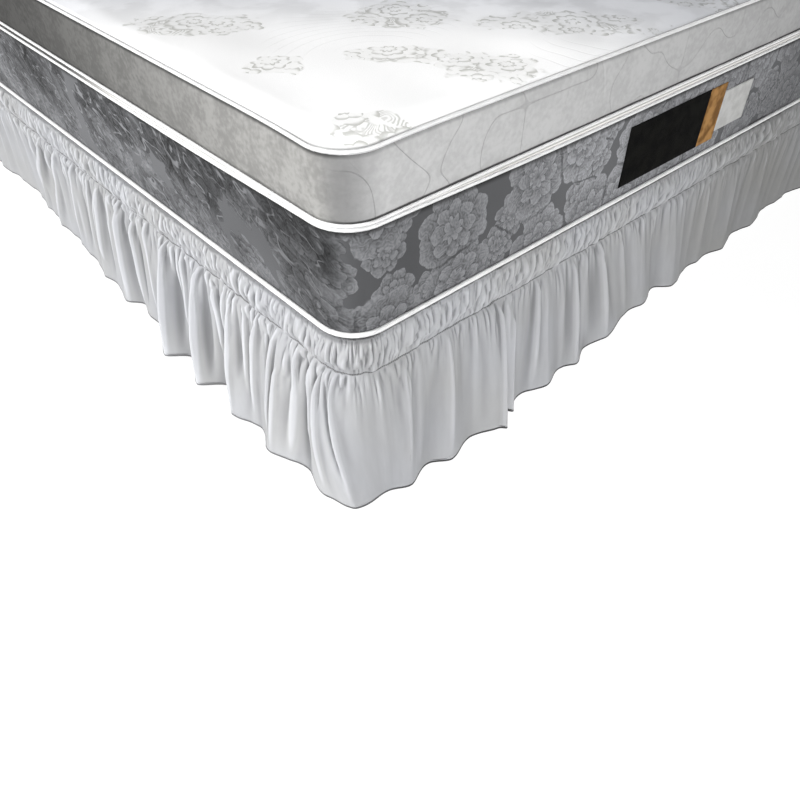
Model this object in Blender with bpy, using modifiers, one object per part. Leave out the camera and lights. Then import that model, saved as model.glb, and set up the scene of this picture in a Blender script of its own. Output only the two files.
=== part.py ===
"""A gathered bed skirt round a bed base, with the mattress that lies on the base.

Metres, +Z up. The floor is z = 0, the origin is on the floor under the middle of the bed,
the head of the bed is towards +Y and its foot towards -Y.
"""

import math
import random

import bmesh
import bpy

# ---- Driving dimensions ----

MATTRESS_WIDTH = 1.930
MATTRESS_LENGTH = 2.030
CORNER_RADIUS = 0.069
FIT_GAP = 0.0003            # left between neighbouring solids
ARC_STEPS = 8               # flats in each corner of the mattress, base and pipings

FOOT_HEIGHT = 0.100
FOOT_RADIUS_TOP = 0.032
FOOT_RADIUS_FLOOR = 0.025
FOOT_INSET = 0.120          # from the base's sides to a foot's axis

BASE_INSET = 0.005          # the base stands this far inside the mattress all round
BASE_TOP = 0.3362
BASE_EDGE = 0.004           # rounding of the base's edges

BORDER_TOP = 0.5403         # top of the mattress border, where the pillow-top begins
PILLOW_RIM = 0.6620
PILLOW_SHOULDER = 0.6670    # where the quilted top levels off, 45 mm in from the rim
PILLOW_CROWN = 0.0060       # further rise of its middle
CORNER_SWELL = 0.0060       # the pillow-top's upper corners stand out by this
SWELL_REACH = 0.10          # distance from a corner's middle over which they do

PIPING_PROUD = 0.0012       # axis of a piping outside the mattress side
PIPING_SEAT = 0.0005        # between a piping and the seam that it lies in
LOW_PIPING = {"axis": 0.3420, "radius": 0.0046}
MID_PIPING = {"axis": 0.5370, "radius": 0.0031}
UPPER_PIPING = {"axis": 0.5437, "radius": 0.0031}
TOP_PIPING = {"axis": 0.6565, "radius": 0.0033}
TOP_PIPING_IN = 0.0020      # axis of the top cord inside the mattress side
MID_SAG = 0.0080            # the two middle pipings part by this much more along the sides
SAG_REACH = 0.30            # distance from a corner over which they part

LABEL_THICKNESS = 0.0012
LABEL_SEAM = 0.0006         # bare cloth shown between label pieces
LABEL_PIECES = (
    # name, start, end (from the near corner along the foot side), bottom, top, material
    ("label_patch", 0.7200, 1.0165, 0.370, 0.498, "label_dark"),
    ("label_strip", 1.0165, 1.0840, 0.370, 0.498, "label_gold"),
    ("label_tag", 1.0840, 1.2090, 0.387, 0.478, "label_pale"),
)

CLOTH = 0.0016              # thickness of the skirt's cloth
BAND_TOP = 0.3315
SEAM_HEIGHT = 0.2535        # stitched line between band and drop
HEM_HEIGHT = 0.0125
BAND_BULGE = 0.0080         # the casing stands out between its two elastics
PUCKER = 0.0042             # height of the casing's puckers, either way
GATHER = 0.0030             # height of the gathers just under the seam, either way
UNEVEN = (0.5, 1.4)         # least and most of that height on one pucker
GATHER_ROW = 0.26           # share of the drop where the gathers have run into the folds
FOLD_AT_GATHER_ROW = 0.40   # share of the folds' depth reached there
RIDGE_SPACING = (0.045, 0.080)
RIDGE_HEIGHT = (0.0035, 0.0075)     # of the ridges between the folds, at the gather row
RIDGE_AT_HEM = 0.25         # share of that height left at the hem
COLUMNS = 580               # columns of cloth round the ring, an even number
FLARE_PATH = 0.035          # the columns are evenly spaced on a path this far outside the base
PUCKER_SEED = 5
RIDGE_SEED = 8

# ---- Folds of the drop at its hem ----
# A row for each fold, counted from the middle of the near corner along the side. "crest" is
# where it stands out most, "hollow" where it falls back after that; "out" is how far from the
# base's side the cloth stands there.

FOOT_SIDE_FOLDS = (
    # crest, out, hollow, out
    (0.000, 0.1100, 0.048, 0.0800),
    (0.074, 0.0910, 0.130, 0.0730),
    (0.180, 0.0965, 0.248, 0.0788),
    (0.318, 0.1015, 0.421, 0.0627),
    (0.489, 0.0835, 0.552, 0.0652),
    (0.598, 0.0812, 0.654, 0.0573),
    (0.728, 0.0680, 0.851, 0.0420),
    (0.907, 0.0495, 0.979, 0.0260),
    (1.028, 0.0545, 1.135, 0.0315),
    (1.180, 0.0360, 1.222, 0.0315),
    (1.282, 0.0465, 1.388, 0.0229),
    (1.465, 0.0355, 1.590, 0.0120),
    (1.665, 0.0165, 1.725, 0.0110),
    (1.800, 0.0260, 1.850, 0.0240),
)

LONG_SIDE_FOLDS = (
    # crest, out, hollow, out
    (0.032, 0.0940, 0.087, 0.0641),
    (0.184, 0.0950, 0.243, 0.0700),
    (0.318, 0.0930, 0.399, 0.0520),
    (0.453, 0.1000, 0.537, 0.0610),
    (0.590, 0.1045, 0.690, 0.0560),
    (0.742, 0.0595, 0.797, 0.0455),
    (0.850, 0.0730, 0.925, 0.0565),
    (0.985, 0.0628, 1.075, 0.0470),
    (1.130, 0.0455, 1.225, 0.0355),
    (1.320, 0.0385, 1.400, 0.0270),
    (1.450, 0.0260, 1.570, 0.0110),
    (1.640, 0.0165, 1.700, 0.0160),
    (1.790, 0.0290, 1.870, 0.0220),
)

# The two sides away from the near corner follow a rule instead of a table.
FAR_FOLD_SPACING = (0.100, 0.165)
FAR_CREST_OUT = (0.050, 0.085)
FAR_HOLLOW_OUT = (0.022, 0.042)
FAR_CORNER_OUT = 0.022      # added where the cloth goes round a corner
FAR_CORNER_REACH = 0.25
FAR_SEED = 11

# ---- Materials: colour, roughness ----

FINISHES = {
    "skirt_cloth": ((0.62, 0.63, 0.66), 0.85),
    "base_cloth": ((0.55, 0.55, 0.55), 0.90),
    "foot_plastic": ((0.03, 0.03, 0.03), 0.45),
    "border_damask": ((0.17, 0.17, 0.18), 0.60),
    "quilt_knit": ((0.74, 0.73, 0.70), 0.80),
    "piping_cord": ((0.85, 0.85, 0.85), 0.50),
    "label_dark": ((0.010, 0.010, 0.011), 0.50),
    "label_gold": ((0.50, 0.27, 0.07), 0.45),
    "label_pale": ((0.60, 0.59, 0.57), 0.60),
}


def clear_scene():
    for obj in list(bpy.data.objects):
        bpy.data.objects.remove(obj, do_unlink=True)


def make_collection(name):
    collection = bpy.data.collections.new(name)
    bpy.context.scene.collection.children.link(collection)
    return collection


def finish(name):
    """The Principled material of that name."""
    material = bpy.data.materials.get(name)
    if material:
        return material
    colour, roughness = FINISHES[name]
    material = bpy.data.materials.new(name)
    material.use_nodes = True
    shader = material.node_tree.nodes["Principled BSDF"]
    shader.inputs["Base Color"].default_value = (*colour, 1.0)
    shader.inputs["Roughness"].default_value = roughness
    shader.inputs["Metallic"].default_value = 0.0
    return material


def add_object(collection, name, data, material, sharp_angle=35.0):
    obj = bpy.data.objects.new(name, data)
    collection.objects.link(obj)
    data.materials.append(finish(material))
    if isinstance(data, bpy.types.Mesh):
        data.shade_smooth()
        data.set_sharp_from_angle(angle=math.radians(sharp_angle))
    return obj


# ---- The rounded rectangle that everything follows ----


class Rim:
    """A rounded rectangle round the bed, walked counter-clockwise seen from above.

    It lies `inset` inside the mattress. The walk starts in the middle of the near corner
    (-X, -Y) and its length is measured on a path `path_out` outside the rectangle.
    """

    TURNS = (180.0, 270.0, 0.0, 90.0)
    CORNERS = ((-1, -1), (1, -1), (1, 1), (-1, 1))

    def __init__(self, inset=0.0, path_out=0.0):
        self.radius = CORNER_RADIUS - inset
        self.centre_x = MATTRESS_WIDTH / 2 - CORNER_RADIUS
        self.centre_y = MATTRESS_LENGTH / 2 - CORNER_RADIUS
        self.arc = (self.radius + path_out) * math.pi / 2
        self.runs = (2 * self.centre_x, 2 * self.centre_y) * 2
        self.length = 4 * self.arc + sum(self.runs)

    def point(self, walk, out=0.0):
        """The point at that length of the walk, `out` metres outside the rectangle."""
        walk = (walk + self.arc / 2) % self.length
        reach = self.radius + out
        for turn, (side_x, side_y), run in zip(self.TURNS, self.CORNERS, self.runs):
            if walk <= self.arc + run:
                break
            walk -= self.arc + run
        angle = math.radians(turn) + math.pi / 2 * min(walk / self.arc, 1.0)
        along = max(walk - self.arc, 0.0)
        x = side_x * self.centre_x + reach * math.cos(angle) - along * math.sin(angle)
        y = side_y * self.centre_y + reach * math.sin(angle) + along * math.cos(angle)
        return x, y

    def corner_walks(self):
        """Where the middles of the four corners lie on the walk."""
        middles = [0.0]
        for run in self.runs[:-1]:
            middles.append(middles[-1] + self.arc + run)
        return middles

    def from_corner(self, walk):
        """How far that place is from the middle of the nearest corner."""
        walk %= self.length
        middles = self.corner_walks() + [self.length]
        return min(abs(walk - middle) for middle in middles)

    def outline(self, run_steps=1):
        """Walk lengths of an outline: the steps of each corner arc and of each straight run."""
        walks = []
        for middle, run in zip(self.corner_walks(), self.runs):
            start = middle - self.arc / 2
            walks += [start + self.arc * step / ARC_STEPS for step in range(ARC_STEPS + 1)]
            end = middle + self.arc / 2
            walks += [end + run * step / run_steps for step in range(1, run_steps)]
        return walks


# ---- Mattress, base and feet ----


def ring_edges(bm, ring):
    """The edges of a ring of points, made where they aren't there yet."""
    edges = []
    for one, other in zip(ring, ring[1:] + ring[:1]):
        edges.append(bm.edges.get((one, other)) or bm.edges.new((one, other)))
    return edges


def corner_share(rim, walk, reach):
    """1 in the middle of a corner, falling to 0 along the sides."""
    return math.exp(-((rim.from_corner(walk) / reach) ** 2))


def stack_of_outlines(collection, name, rows, material, crown=0.0):
    """A closed block lofted through rounded rectangles; rows are (height, inset, swell)."""
    rim = Rim()
    outline = [(walk, corner_share(rim, walk, SWELL_REACH)) for walk in rim.outline()]
    mesh = bpy.data.meshes.new(name)
    bm = bmesh.new()
    rings = []
    for height, inset, swell in rows:
        points = [(*rim.point(walk, swell * share - inset), height) for walk, share in outline]
        rings.append([bm.verts.new(point) for point in points])
    for lower, upper in zip(rings, rings[1:]):
        bmesh.ops.bridge_loops(bm, edges=ring_edges(bm, lower) + ring_edges(bm, upper))
    for ring in (rings[0], rings[-1]):
        bmesh.ops.contextual_create(bm, geom=ring_edges(bm, ring))
    if crown:
        top = max(bm.faces, key=lambda face: face.calc_center_median().z)
        middle = bmesh.ops.poke(bm, faces=[top])["verts"][0]
        middle.co.z += crown
    bmesh.ops.recalc_face_normals(bm, faces=bm.faces)
    bm.to_mesh(mesh)
    bm.free()
    return add_object(collection, name, mesh, material)


def seam_inset(piping, axis_out=PIPING_PROUD):
    """How far a piped seam is drawn in, so that its piping lies against it."""
    return piping["radius"] - axis_out + PIPING_SEAT


def make_mattress(collection):
    low = BASE_TOP + FIT_GAP
    low_seam = seam_inset(LOW_PIPING)
    mid_seam = seam_inset(MID_PIPING)
    rows = (
        (low, low_seam + 0.0040, 0.0),
        (low + 0.0025, low_seam, 0.0),
        (LOW_PIPING["axis"] + 0.0020, low_seam, 0.0),
        (LOW_PIPING["axis"] + 0.0110, 0.0008, 0.0),
        (0.5 * (low + BORDER_TOP), 0.0, 0.0),
        (MID_PIPING["axis"] - MID_SAG - 0.0110, 0.0008, 0.0),
        (MID_PIPING["axis"] - MID_SAG, mid_seam, 0.0),
        (BORDER_TOP, mid_seam, 0.0),
    )
    stack_of_outlines(collection, "mattress", rows, "border_damask")
    top_seam = seam_inset(TOP_PIPING, -TOP_PIPING_IN)
    rows = (
        (BORDER_TOP + FIT_GAP, mid_seam, 0.0),
        (UPPER_PIPING["axis"], mid_seam, 0.0),
        (UPPER_PIPING["axis"] + 0.0100, 0.0010, 0.0),
        (0.5 * (BORDER_TOP + PILLOW_RIM), 0.0, 0.5 * CORNER_SWELL),
        (TOP_PIPING["axis"] - 0.0100, 0.0010, CORNER_SWELL),
        (TOP_PIPING["axis"] - 0.0030, top_seam, CORNER_SWELL),
        (TOP_PIPING["axis"], top_seam, CORNER_SWELL),
        (PILLOW_RIM, top_seam + 0.0040, CORNER_SWELL),
        (PILLOW_SHOULDER, 0.0450, 0.0),
    )
    stack_of_outlines(collection, "pillow_top", rows, "quilt_knit", crown=PILLOW_CROWN)


def make_piping(collection, name, piping, out=PIPING_PROUD, sag=0.0, swell=0.0):
    """A closed cord round the mattress.

    It sags by `sag` away from the corners and stands out by `swell` at the corners.
    """
    rim = Rim()
    curve = bpy.data.curves.new(name, "CURVE")
    curve.dimensions = "3D"
    curve.bevel_depth = piping["radius"]
    curve.bevel_resolution = 2
    walks = rim.outline(run_steps=8 if sag else 1)
    spline = curve.splines.new("POLY")
    spline.points.add(len(walks) - 1)
    for point, walk in zip(spline.points, walks):
        height = piping["axis"] - sag * (1.0 - corner_share(rim, walk, SAG_REACH))
        proud = out + swell * corner_share(rim, walk, SWELL_REACH)
        point.co = (*rim.point(walk, proud), height, 1.0)
    spline.use_cyclic_u = True
    return add_object(collection, name, curve, "piping_cord")


def make_pipings(collection):
    make_piping(collection, "piping_low", LOW_PIPING)
    make_piping(collection, "piping_mid", MID_PIPING, sag=MID_SAG)
    make_piping(collection, "piping_upper", UPPER_PIPING)
    make_piping(collection, "piping_top", TOP_PIPING, out=-TOP_PIPING_IN, swell=CORNER_SWELL)


def make_label(collection):
    """Three flat pieces side by side on the border of the foot side, all bare."""
    for name, start, end, bottom, top, material in LABEL_PIECES:
        mesh = bpy.data.meshes.new(name)
        bm = bmesh.new()
        bmesh.ops.create_cube(bm, size=1.0)
        size = (end - start - LABEL_SEAM, LABEL_THICKNESS, top - bottom)
        bmesh.ops.scale(bm, vec=size, verts=bm.verts)
        bm.to_mesh(mesh)
        bm.free()
        piece = add_object(collection, name, mesh, material)
        piece.location = (
            (start + end - MATTRESS_WIDTH) / 2,
            -MATTRESS_LENGTH / 2 - FIT_GAP - LABEL_THICKNESS / 2,
            (bottom + top) / 2,
        )


def make_base(collection):
    low = FOOT_HEIGHT + FIT_GAP
    size = (MATTRESS_WIDTH - 2 * BASE_INSET, MATTRESS_LENGTH - 2 * BASE_INSET, BASE_TOP - low)
    mesh = bpy.data.meshes.new("bed_base")
    bm = bmesh.new()
    bmesh.ops.create_cube(bm, size=1.0)
    bmesh.ops.scale(bm, vec=size, verts=bm.verts)
    uprights = [edge for edge in bm.edges if edge.verts[0].co.z * edge.verts[1].co.z < 0]
    radius = CORNER_RADIUS - BASE_INSET
    bmesh.ops.bevel(
        bm, geom=uprights, offset=radius, segments=ARC_STEPS, profile=0.5, affect="EDGES"
    )
    bm.to_mesh(mesh)
    bm.free()
    base = add_object(collection, "bed_base", mesh, "base_cloth")
    base.location.z = low + size[2] / 2
    edges = base.modifiers.new("edges", "BEVEL")
    edges.width = BASE_EDGE
    edges.segments = 2
    edges.limit_method = "ANGLE"
    edges.angle_limit = math.radians(60)


def make_feet(collection):
    reach_x = MATTRESS_WIDTH / 2 - BASE_INSET - FOOT_INSET
    reach_y = MATTRESS_LENGTH / 2 - BASE_INSET - FOOT_INSET
    places = [(side * reach_x, row * reach_y) for row in (-1, 0, 1) for side in (-1, 1)]
    for number, (x, y) in enumerate(places, start=1):
        mesh = bpy.data.meshes.new(f"foot_{number}")
        bm = bmesh.new()
        bmesh.ops.create_cone(
            bm,
            cap_ends=True,
            segments=20,
            radius1=FOOT_RADIUS_FLOOR,
            radius2=FOOT_RADIUS_TOP,
            depth=FOOT_HEIGHT,
        )
        bm.to_mesh(mesh)
        bm.free()
        foot = add_object(collection, f"foot_{number}", mesh, "foot_plastic")
        foot.location = (x, y, FOOT_HEIGHT / 2)


# ---- The skirt ----


def far_stations(rim, start, end):
    """Crests and hollows (walk, out) of the sides that follow the rule."""
    generator = random.Random(FAR_SEED)
    stations = []
    walk = start
    while walk < end:
        for least, most in (FAR_CREST_OUT, FAR_HOLLOW_OUT):
            flare = FAR_CORNER_OUT * max(0.0, 1.0 - rim.from_corner(walk) / FAR_CORNER_REACH)
            stations.append((walk, generator.uniform(least, most) + flare))
            walk += 0.5 * generator.uniform(*FAR_FOLD_SPACING)
    return [station for station in stations if station[0] < end]


def hem_stations(rim):
    """All crests and hollows of the hem as (walk, out), in order round the ring."""
    foot_side = []
    for crest, crest_out, hollow, hollow_out in FOOT_SIDE_FOLDS:
        foot_side += [(crest, crest_out), (hollow, hollow_out)]
    long_side = []
    for crest, crest_out, hollow, hollow_out in LONG_SIDE_FOLDS:
        long_side += [(rim.length - crest, crest_out), (rim.length - hollow, hollow_out)]
    long_side.sort()
    half_fold = 0.5 * sum(FAR_FOLD_SPACING) / 2
    far = far_stations(rim, foot_side[-1][0] + half_fold, long_side[0][0] - half_fold)
    return foot_side + far + long_side


def ridge_stations(length):
    """Crests and hollows (walk, height) of the finer ridges, all round the ring."""
    generator = random.Random(RIDGE_SEED)
    stations = []
    walk = 0.0
    side = 1
    while walk < length - RIDGE_SPACING[0] / 2:
        stations.append((walk, side * generator.uniform(*RIDGE_HEIGHT)))
        walk += 0.5 * generator.uniform(*RIDGE_SPACING)
        side = -side
    return stations


def wave(stations, length, walk):
    """The value at that place of the ring: a soft wave through the stations."""
    before = (stations[-1][0] - length, stations[-1][1])
    for after in stations + [(stations[0][0] + length, stations[0][1])]:
        if walk <= after[0]:
            break
        before = after
    share = (walk - before[0]) / (after[0] - before[0])
    blend = 0.5 - 0.5 * math.cos(math.pi * share)
    return before[1] + (after[1] - before[1]) * blend


def column_profile(fold, ridge, pucker, gather):
    """Rows (height, out) of one column of cloth, from the band's top to the hem."""
    touch = CLOTH + FIT_GAP
    drop = SEAM_HEIGHT - HEM_HEIGHT
    upper = touch + (fold - touch) * FOLD_AT_GATHER_ROW + ridge + gather
    hem = fold + ridge * RIDGE_AT_HEM
    return (
        (BAND_TOP, touch),
        (0.5 * (BAND_TOP + SEAM_HEIGHT), touch + BAND_BULGE + pucker),
        (SEAM_HEIGHT, touch),
        (SEAM_HEIGHT - GATHER_ROW * drop, max(upper, touch)),
        (HEM_HEIGHT, max(hem, touch)),
    )


def make_skirt(collection):
    rim = Rim(BASE_INSET, FLARE_PATH)
    folds = hem_stations(rim)
    ridges = ridge_stations(rim.length)
    generator = random.Random(PUCKER_SEED)
    mesh = bpy.data.meshes.new("bed_skirt")
    bm = bmesh.new()
    columns = []
    for number in range(COLUMNS):
        walk = rim.length * number / COLUMNS
        fold = wave(folds, rim.length, walk)
        ridge = wave(ridges, rim.length, walk)
        side = 1 if number % 2 else -1
        pucker = side * PUCKER * generator.uniform(*UNEVEN)
        gather = side * GATHER * generator.uniform(*UNEVEN)
        rows = column_profile(fold, ridge, pucker, gather)
        columns.append([bm.verts.new((*rim.point(walk, out), height)) for height, out in rows])
    for left, right in zip(columns, columns[1:] + columns[:1]):
        for row in range(len(left) - 1):
            bm.faces.new((left[row + 1], right[row + 1], right[row], left[row]))
    bm.to_mesh(mesh)
    bm.free()
    skirt = add_object(collection, "bed_skirt", mesh, "skirt_cloth", sharp_angle=60.0)
    cloth = skirt.modifiers.new("cloth", "SOLIDIFY")
    cloth.thickness = CLOTH
    cloth.offset = -1.0
    cloth.use_even_offset = False


def main():
    clear_scene()
    parts = make_collection("bed_skirt_with_bed")
    make_skirt(parts)
    make_base(parts)
    make_feet(parts)
    make_mattress(parts)
    make_pipings(parts)
    make_label(parts)


main()
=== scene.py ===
"""Looks of a gathered bed skirt round a bed base, with the mattress that lies on the base.

Metres, +Z up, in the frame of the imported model: the floor is z = 0, the foot of the bed is
towards -Y, and the corner that is nearest to the camera is (-X, -Y).
"""

import math
import random

import bpy
import numpy as np
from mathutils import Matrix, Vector


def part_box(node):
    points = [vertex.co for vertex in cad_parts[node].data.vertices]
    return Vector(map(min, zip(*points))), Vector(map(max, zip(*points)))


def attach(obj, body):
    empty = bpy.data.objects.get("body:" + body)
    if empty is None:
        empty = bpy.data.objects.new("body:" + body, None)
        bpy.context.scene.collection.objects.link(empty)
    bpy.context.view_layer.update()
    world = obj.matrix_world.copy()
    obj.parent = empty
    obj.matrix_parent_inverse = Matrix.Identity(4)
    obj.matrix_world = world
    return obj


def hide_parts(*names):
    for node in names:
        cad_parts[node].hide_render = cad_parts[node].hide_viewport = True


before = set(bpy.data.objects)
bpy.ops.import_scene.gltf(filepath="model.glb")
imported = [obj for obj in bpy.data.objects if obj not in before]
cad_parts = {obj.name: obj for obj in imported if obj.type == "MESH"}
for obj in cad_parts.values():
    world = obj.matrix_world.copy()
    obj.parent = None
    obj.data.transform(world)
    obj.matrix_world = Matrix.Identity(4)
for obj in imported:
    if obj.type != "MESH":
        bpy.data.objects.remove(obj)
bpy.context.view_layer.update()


def size_of(node):
    low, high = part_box(node)
    return high - low


# ---- Driving dimensions, those of the part's own source but for the one marked ----

BASE_INSET = 0.005          # the base stands this far inside the mattress all round
MATTRESS_WIDTH = size_of("bed_base").x + 2 * BASE_INSET
MATTRESS_LENGTH = size_of("bed_base").y + 2 * BASE_INSET
HALF = np.array([MATTRESS_WIDTH, MATTRESS_LENGTH]) / 2
CORNER_RADIUS = 0.069
FIT_GAP = 0.0003

MATTRESS_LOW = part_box("mattress")[0].z
BORDER_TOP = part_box("mattress")[1].z
PILLOW_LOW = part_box("pillow_top")[0].z
PILLOW_RIM = 0.6580         # 4 mm under the solid's, so that the top meets its cord softly
PILLOW_SHOULDER = 0.6670    # where the quilted top levels off
SHOULDER_IN = 0.0450        # that far in from the mattress side
RISE_FROM = -0.02           # and starts to rise, as if from outside it
PILLOW_CROWN = 0.0060
CROWN_IN = 0.9              # the crown is reached this far in
CORNER_SWELL = 0.0060       # the pillow-top's upper corners stand out by this
SWELL_REACH = 0.10          # distance from a corner's middle over which they do

PIPING_PROUD = 0.0012       # axis of a cord outside the mattress side
PIPING_SEAT = 0.0005        # between a cord and the seam that it lies in
LOW_PIPING = {"axis": 0.3420, "radius": 0.0046}
MID_PIPING = {"axis": 0.5370, "radius": 0.0031}
UPPER_PIPING = {"axis": 0.5437, "radius": 0.0031}
TOP_PIPING = {"axis": 0.6565, "radius": 0.0033}
TOP_PIPING_IN = 0.0020      # axis of the top cord inside the mattress side
MID_SAG = 0.0080            # the two middle cords part by this much more along the sides
SAG_REACH = 0.30

CLOTH = 0.0016
TOUCH = CLOTH + FIT_GAP     # how far out the cloth's face is where it lies on the base
BAND_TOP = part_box("bed_skirt")[1].z
SEAM_HEIGHT = 0.2535        # stitched line between band and drop
HEM_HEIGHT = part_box("bed_skirt")[0].z
BAND_BULGE = 0.0080         # the casing stands out between its two edges
RIDGE_SPACING = (0.045, 0.080)
RIDGE_HEIGHT = (0.0035, 0.0075)
RIDGE_AT_HEM = 0.25
GATHER_ROW = 0.26           # share of the drop where the gathers have run into the folds
FLARE_PATH = 0.035          # walks are measured this far outside the base
RIDGE_SEED = 8

# ---- Folds of the drop at its hem, the solid's own ----

FOOT_SIDE_FOLDS = (
    # crest, out, hollow, out
    (0.000, 0.1100, 0.048, 0.0800),
    (0.074, 0.0910, 0.130, 0.0730),
    (0.180, 0.0965, 0.248, 0.0788),
    (0.318, 0.1015, 0.421, 0.0627),
    (0.489, 0.0835, 0.552, 0.0652),
    (0.598, 0.0812, 0.654, 0.0573),
    (0.728, 0.0680, 0.851, 0.0420),
    (0.907, 0.0495, 0.979, 0.0260),
    (1.028, 0.0545, 1.135, 0.0315),
    (1.180, 0.0360, 1.222, 0.0315),
    (1.282, 0.0465, 1.388, 0.0229),
    (1.465, 0.0355, 1.590, 0.0120),
    (1.665, 0.0165, 1.725, 0.0110),
    (1.800, 0.0260, 1.850, 0.0240),
)

LONG_SIDE_FOLDS = (
    # crest, out, hollow, out
    (0.032, 0.0940, 0.087, 0.0641),
    (0.184, 0.0950, 0.243, 0.0700),
    (0.318, 0.0930, 0.399, 0.0520),
    (0.453, 0.1000, 0.537, 0.0610),
    (0.590, 0.1045, 0.690, 0.0560),
    (0.742, 0.0595, 0.797, 0.0455),
    (0.850, 0.0730, 0.925, 0.0565),
    (0.985, 0.0628, 1.075, 0.0470),
    (1.130, 0.0455, 1.225, 0.0355),
    (1.320, 0.0385, 1.400, 0.0270),
    (1.450, 0.0260, 1.570, 0.0110),
    (1.640, 0.0165, 1.700, 0.0160),
    (1.790, 0.0290, 1.870, 0.0220),
)

FAR_FOLD_SPACING = (0.100, 0.165)
FAR_CREST_OUT = (0.050, 0.085)
FAR_HOLLOW_OUT = (0.022, 0.042)
FAR_CORNER_OUT = 0.022
FAR_CORNER_REACH = 0.25
FAR_SEED = 11

# ---- What the fine cloth adds to the solid's folds ----

NEAR_COLUMN = 0.0019        # width of a column of cloth near the camera
FAR_COLUMN = 0.0037         # and on the sides away from it
NEAR_REACH = (0.90, 1.60)   # the columns widen between these walks from the near corner
BAND_ROWS = (0.03, 0.09, 0.18, 0.29, 0.41, 0.53, 0.65, 0.77, 0.88, 0.96)
DROP_ROWS = (
    0.012, 0.032, 0.060, 0.095, 0.135, 0.185, 0.245, 0.315, 0.395,
    0.480, 0.570, 0.660, 0.750, 0.835, 0.910, 0.970,
)
FOLD_POWER = 0.68           # how fast the folds deepen below the seam
FOLD_START = 0.010          # share of the drop over which they set in
WAVE_POWER = 0.30           # the same for the folds' waves about their mean
MEAN_REACH = 0.16           # length of hem to both sides over which that mean is taken
MEAN_SAMPLES = 33
COLUMN_SAMPLES = 20001      # places at which the columns' widths are added up
CREST_SHARPNESS = 0.56      # 1 is a plain wave, less has narrow crests and wide hollows
HEM_SHARPNESS = 0.95        # the same at the hem
RIDGE_SHARPNESS = 0.70
RIDGES_LEFT = 0.3           # share of the ridges' height kept among the listed creases
RIDGES_LESS = 0.4           # taken off it again along the foot side, past these walks
RIDGES_LESS_REACH = (0.3, 0.6)
SOFT_STOP = 0.0030          # how softly a deep fold comes to rest against the base
BAND_SLANT = 0.004          # the casing's puckers lean by this much over its height
BY_HAND_REACH = (0.65, 0.95)    # the ridges by chance take over from the listed creases here
HOLLOW_SCALES = ((0.007, 0.0033), (0.024, 0.0140))     # reach, depth of a full hollow
SEAM_GROOVE = 0.0007        # what the stitched line and the top edge draw in
SEAM_WANDER = 0.0022        # how far the gathers pull the stitched line up and down
EDGE_TUCK = 0.0011          # the cloth's edges turn in by this
EDGE_RETURN = 0.0060        # and run back behind by this

# Which place of the hem hangs below which place of the seam, counted from the near corner.
FOOT_SIDE_LEAN = (
    # seam, hem
    (0.135, 0.080),
    (0.245, 0.185),
    (0.380, 0.343),
    (0.475, 0.421),
    (0.545, 0.530),
    (0.620, 0.600),
    (0.705, 0.730),
    (0.775, 0.830),
    (0.885, 0.920),
    (1.100, 1.110),
    (1.300, 1.300),
)
LONG_SIDE_LEAN = (
    # seam, hem
    (0.070, 0.010),
    (0.105, 0.032),
    (0.140, 0.074),
    (0.205, 0.181),
    (0.318, 0.245),
    (0.380, 0.317),
    (0.515, 0.453),
    (0.650, 0.590),
    (0.800, 0.752),
    (1.100, 1.070),
    (1.400, 1.400),
)
LEAN_SMOOTHING = 0.012
TROUGH_SHARE = 0.40         # sunk creases reach their full depth this far down the drop
CREASE_AT_HEM = 0.3         # what is left of a crease at the hem, if it doesn't run past it
CREASE_TIP = 0.45           # how wide a crease is where it starts, as a share of its width
CREASE_OPENS = 0.45         # share of its own length over which it reaches its full width
CREASE_SETS_IN = (-0.02, 0.06)      # shares of the drop about its start
CREASE_DIES = (-0.15, 0.10)         # and about its end
CREASE_SINKS = (0.55, 1.00)         # shares of the drop over which it falls to CREASE_AT_HEM

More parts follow.
